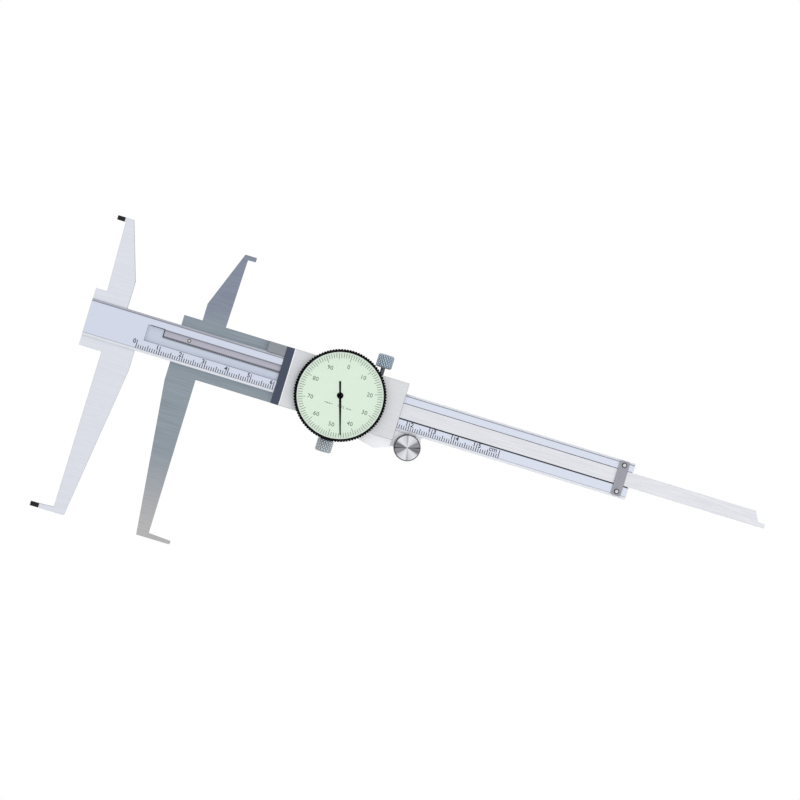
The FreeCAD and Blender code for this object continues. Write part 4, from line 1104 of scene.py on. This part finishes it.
def arrow_head(x, y, way):
    """Flat triangle that points along the beam."""
    bpy.ops.object.select_all(action="DESELECT")
    bpy.ops.mesh.primitive_cylinder_add(vertices=3, radius=ARROW_SIZE * MM, depth=PRINT * MM)
    head = bpy.context.object
    turn = -way * math.pi / 2
    bpy.ops.object.mode_set(mode="EDIT")
    bpy.ops.transform.rotate(value=turn, orient_axis="Z", center_override=(0, 0, 0))
    bpy.ops.transform.translate(value=(x * MM, y * MM, (FACE_TOP + PRINT / 2) * MM))
    bpy.ops.object.mode_set(mode="OBJECT")
    return head


def reading_mark(x, y):
    """Two arrows that point at each other, before the words for one division."""
    pieces = []
    for start, end, point in ARROWS:
        left, right = sorted((x + start, x + end))
        shaft = bar(
            "arrow_shaft", left, y - SHAFT_HALF, right, y + SHAFT_HALF, FACE_TOP, PRINT,
        )
        head = arrow_head(x + (end + point) / 2, y, math.copysign(1, point - end))
        pieces += [shaft, head]
    return pieces


def dial_lines():
    """One ring of bars for each kind of line, and the mark for one division."""
    x, y = DIAL_CENTRE
    rings = []
    for count, start, width in DIVISIONS:
        line = bar(
            f"division_{count}", x - width / 2, y + start, x + width / 2,
            y + DIVISION_END, FACE_TOP, PRINT,
        )
        rings.append(repeat_around(line, count, DIAL_CENTRE))
    return join("dial_lines", rings + reading_mark(x, y - MARK_DROP))


def dial_numerals():
    """Upright numerals on their circle, and the words for one division."""
    x, y = DIAL_CENTRE
    numerals = []
    for number in range(0, 100, NUMERAL_STEP):
        turn = math.radians(number * DIVISION_TURN)
        middle = (x + NUMERAL_CIRCLE * math.sin(turn), y + NUMERAL_CIRCLE * math.cos(turn))
        numerals.append(
            written(str(number), DIAL_NUMERAL_HEIGHT, middle, FACE_TOP, 0.0, DIAL_SPACING)
        )
    middle = (x + WORDS_SHIFT, y - MARK_DROP)
    numerals.append(written("0.02 mm", WORDS_HEIGHT, middle, FACE_TOP, 0.0, WORDS_SPACING))
    return join("dial_numerals", numerals)


for piece in (dial_lines(), dial_numerals()):
    dress(piece, "dial_ink")
    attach(piece, "bezel")
    print(piece.name, len(piece.data.polygons), "faces")

# %% [markdown]
# ## The floor
# The caliper floats over a pale floor that the camera sees as pure white. More light
# would bleach the steel too, so the floor shows a plain white only to the camera and to
# mirror and glass rays. From below it is clear, so that the back can be looked at.

# %% Floor
# In metres
FLOOR_SIZE = 4.0
FLOOR_LEVEL = -0.03

PURE_WHITE = (1.0, 1.0, 1.0, 1.0)


def mixed(shader, amount, first, second):
    """One surface over another, by an amount."""
    made = shader.node("ShaderNodeMixShader")
    for socket, source in zip(made.inputs, (amount, first.outputs[0], second.outputs[0])):
        shader.fill(socket, source)
    return made


def floor_paper():
    """Pale paper, white to the camera and clear from below."""
    paper = Shader("floor_paper")
    paper.set(Base_Color=(0.9, 0.9, 0.9, 1.0), Roughness=0.9)
    glow = paper.node("ShaderNodeEmission", Color=PURE_WHITE, Strength=1.0)
    clear = paper.node("ShaderNodeBsdfTransparent")
    path = paper.node("ShaderNodeLightPath").outputs
    straight = Value(paper, path["Is Camera Ray"])
    mirrored = Value(paper, path["Is Glossy Ray"])
    through = Value(paper, path["Is Transmission Ray"])
    seen = paper.math("ADD", straight + mirrored, through, clamped=True)
    below = paper.node("ShaderNodeNewGeometry").outputs["Backfacing"]
    sheet = mixed(paper, below, mixed(paper, seen, paper.surface, glow), clear)
    paper.fill(paper.tree.nodes["Material Output"].inputs["Surface"], sheet.outputs[0])
    return paper.material


bpy.ops.object.select_all(action="DESELECT")
bpy.ops.mesh.primitive_plane_add(size=FLOOR_SIZE, location=(0.0, 0.0, FLOOR_LEVEL))
floor = bpy.context.object
floor.name = "floor"
floor.data.materials.append(floor_paper())
print("floor at", floor.location.z)

# %% [markdown]
# ## The studio
# Ground steel looks flat under a small lamp and milky in a bright room. So the world is
# dim, one large light hangs overhead, and two weaker ones grade the steel. The camera
# sees white beyond the floor's edge, and everything else sees the dim studio.

# %% World
SKY_TINT = (0.93, 0.95, 1.0, 1.0)
SKY_STRENGTH = 0.3

scene = bpy.context.scene
world = bpy.data.worlds.new("studio")
world.use_nodes = True
scene.world = world
sky = world.node_tree
dim = sky.nodes["Background"]
dim.inputs["Color"].default_value = SKY_TINT
dim.inputs["Strength"].default_value = SKY_STRENGTH
white = sky.nodes.new("ShaderNodeBackground")
white.inputs["Color"].default_value = PURE_WHITE
choice = sky.nodes.new("ShaderNodeMixShader")
ray = sky.nodes.new("ShaderNodeLightPath")
sky.links.new(ray.outputs["Is Camera Ray"], choice.inputs[0])
sky.links.new(dim.outputs[0], choice.inputs[1])
sky.links.new(white.outputs[0], choice.inputs[2])
sky.links.new(choice.outputs[0], sky.nodes["World Output"].inputs["Surface"])
print("world strength", SKY_STRENGTH)

# %% Lights
# Place and width in metres, and power in watts
LAMPS = {
    "softbox": ((0.14, 0.0, 1.6), 3.4, 24.3),
    "key": ((-0.8, 0.9, 0.8), 1.0, 5.0),
    "fill": ((1.1, -0.7, 0.8), 1.0, 4.0),
}
LIT_POINT = (0.14, 0.0, 0.0)


def lamp(name, place, width, power):
    """Square lamp turned to the caliper's middle."""
    bpy.ops.object.select_all(action="DESELECT")
    bpy.ops.object.light_add(type="AREA", location=place)
    light = bpy.context.object
    light.name = name
    light.data.shape = "SQUARE"
    light.data.size = width
    light.data.energy = power
    direction = Vector(LIT_POINT) - Vector(place)
    light.rotation_euler = direction.to_track_quat("-Z", "Y").to_euler()


for name, look in LAMPS.items():
    lamp(name, *look)
print("lights:", len(LAMPS))

# %% [markdown]
# ## The camera
# The photograph looks almost straight down, with a long lens and a slight perspective.
# Place, tilt and lens were fitted to points whose places are known, such as the lines
# of the scale and the corners of the jaws.

# %% Camera
AIM = Vector((136.353, 4.699, 0.0)) * MM
DISTANCE = 1009.3 * MM
TILT = (-0.0133, -0.0596, 0.2969)
LENS = 107.03
SENSOR_WIDTH = 36.0

# In metres
NEAREST = 0.05
FARTHEST = 10.0

bpy.ops.object.camera_add()
camera = bpy.context.object
camera.name = "camera"
camera.rotation_euler = TILT
bpy.context.view_layer.update()
back = camera.matrix_world.to_3x3() @ Vector((0.0, 0.0, 1.0))
camera.location = AIM + back * DISTANCE
camera.data.lens = LENS
camera.data.sensor_width = SENSOR_WIDTH
camera.data.clip_start = NEAREST
camera.data.clip_end = FARTHEST
scene.camera = camera
scene.view_settings.view_transform = "Standard"
print("camera", tuple(round(part, 4) for part in camera.location))
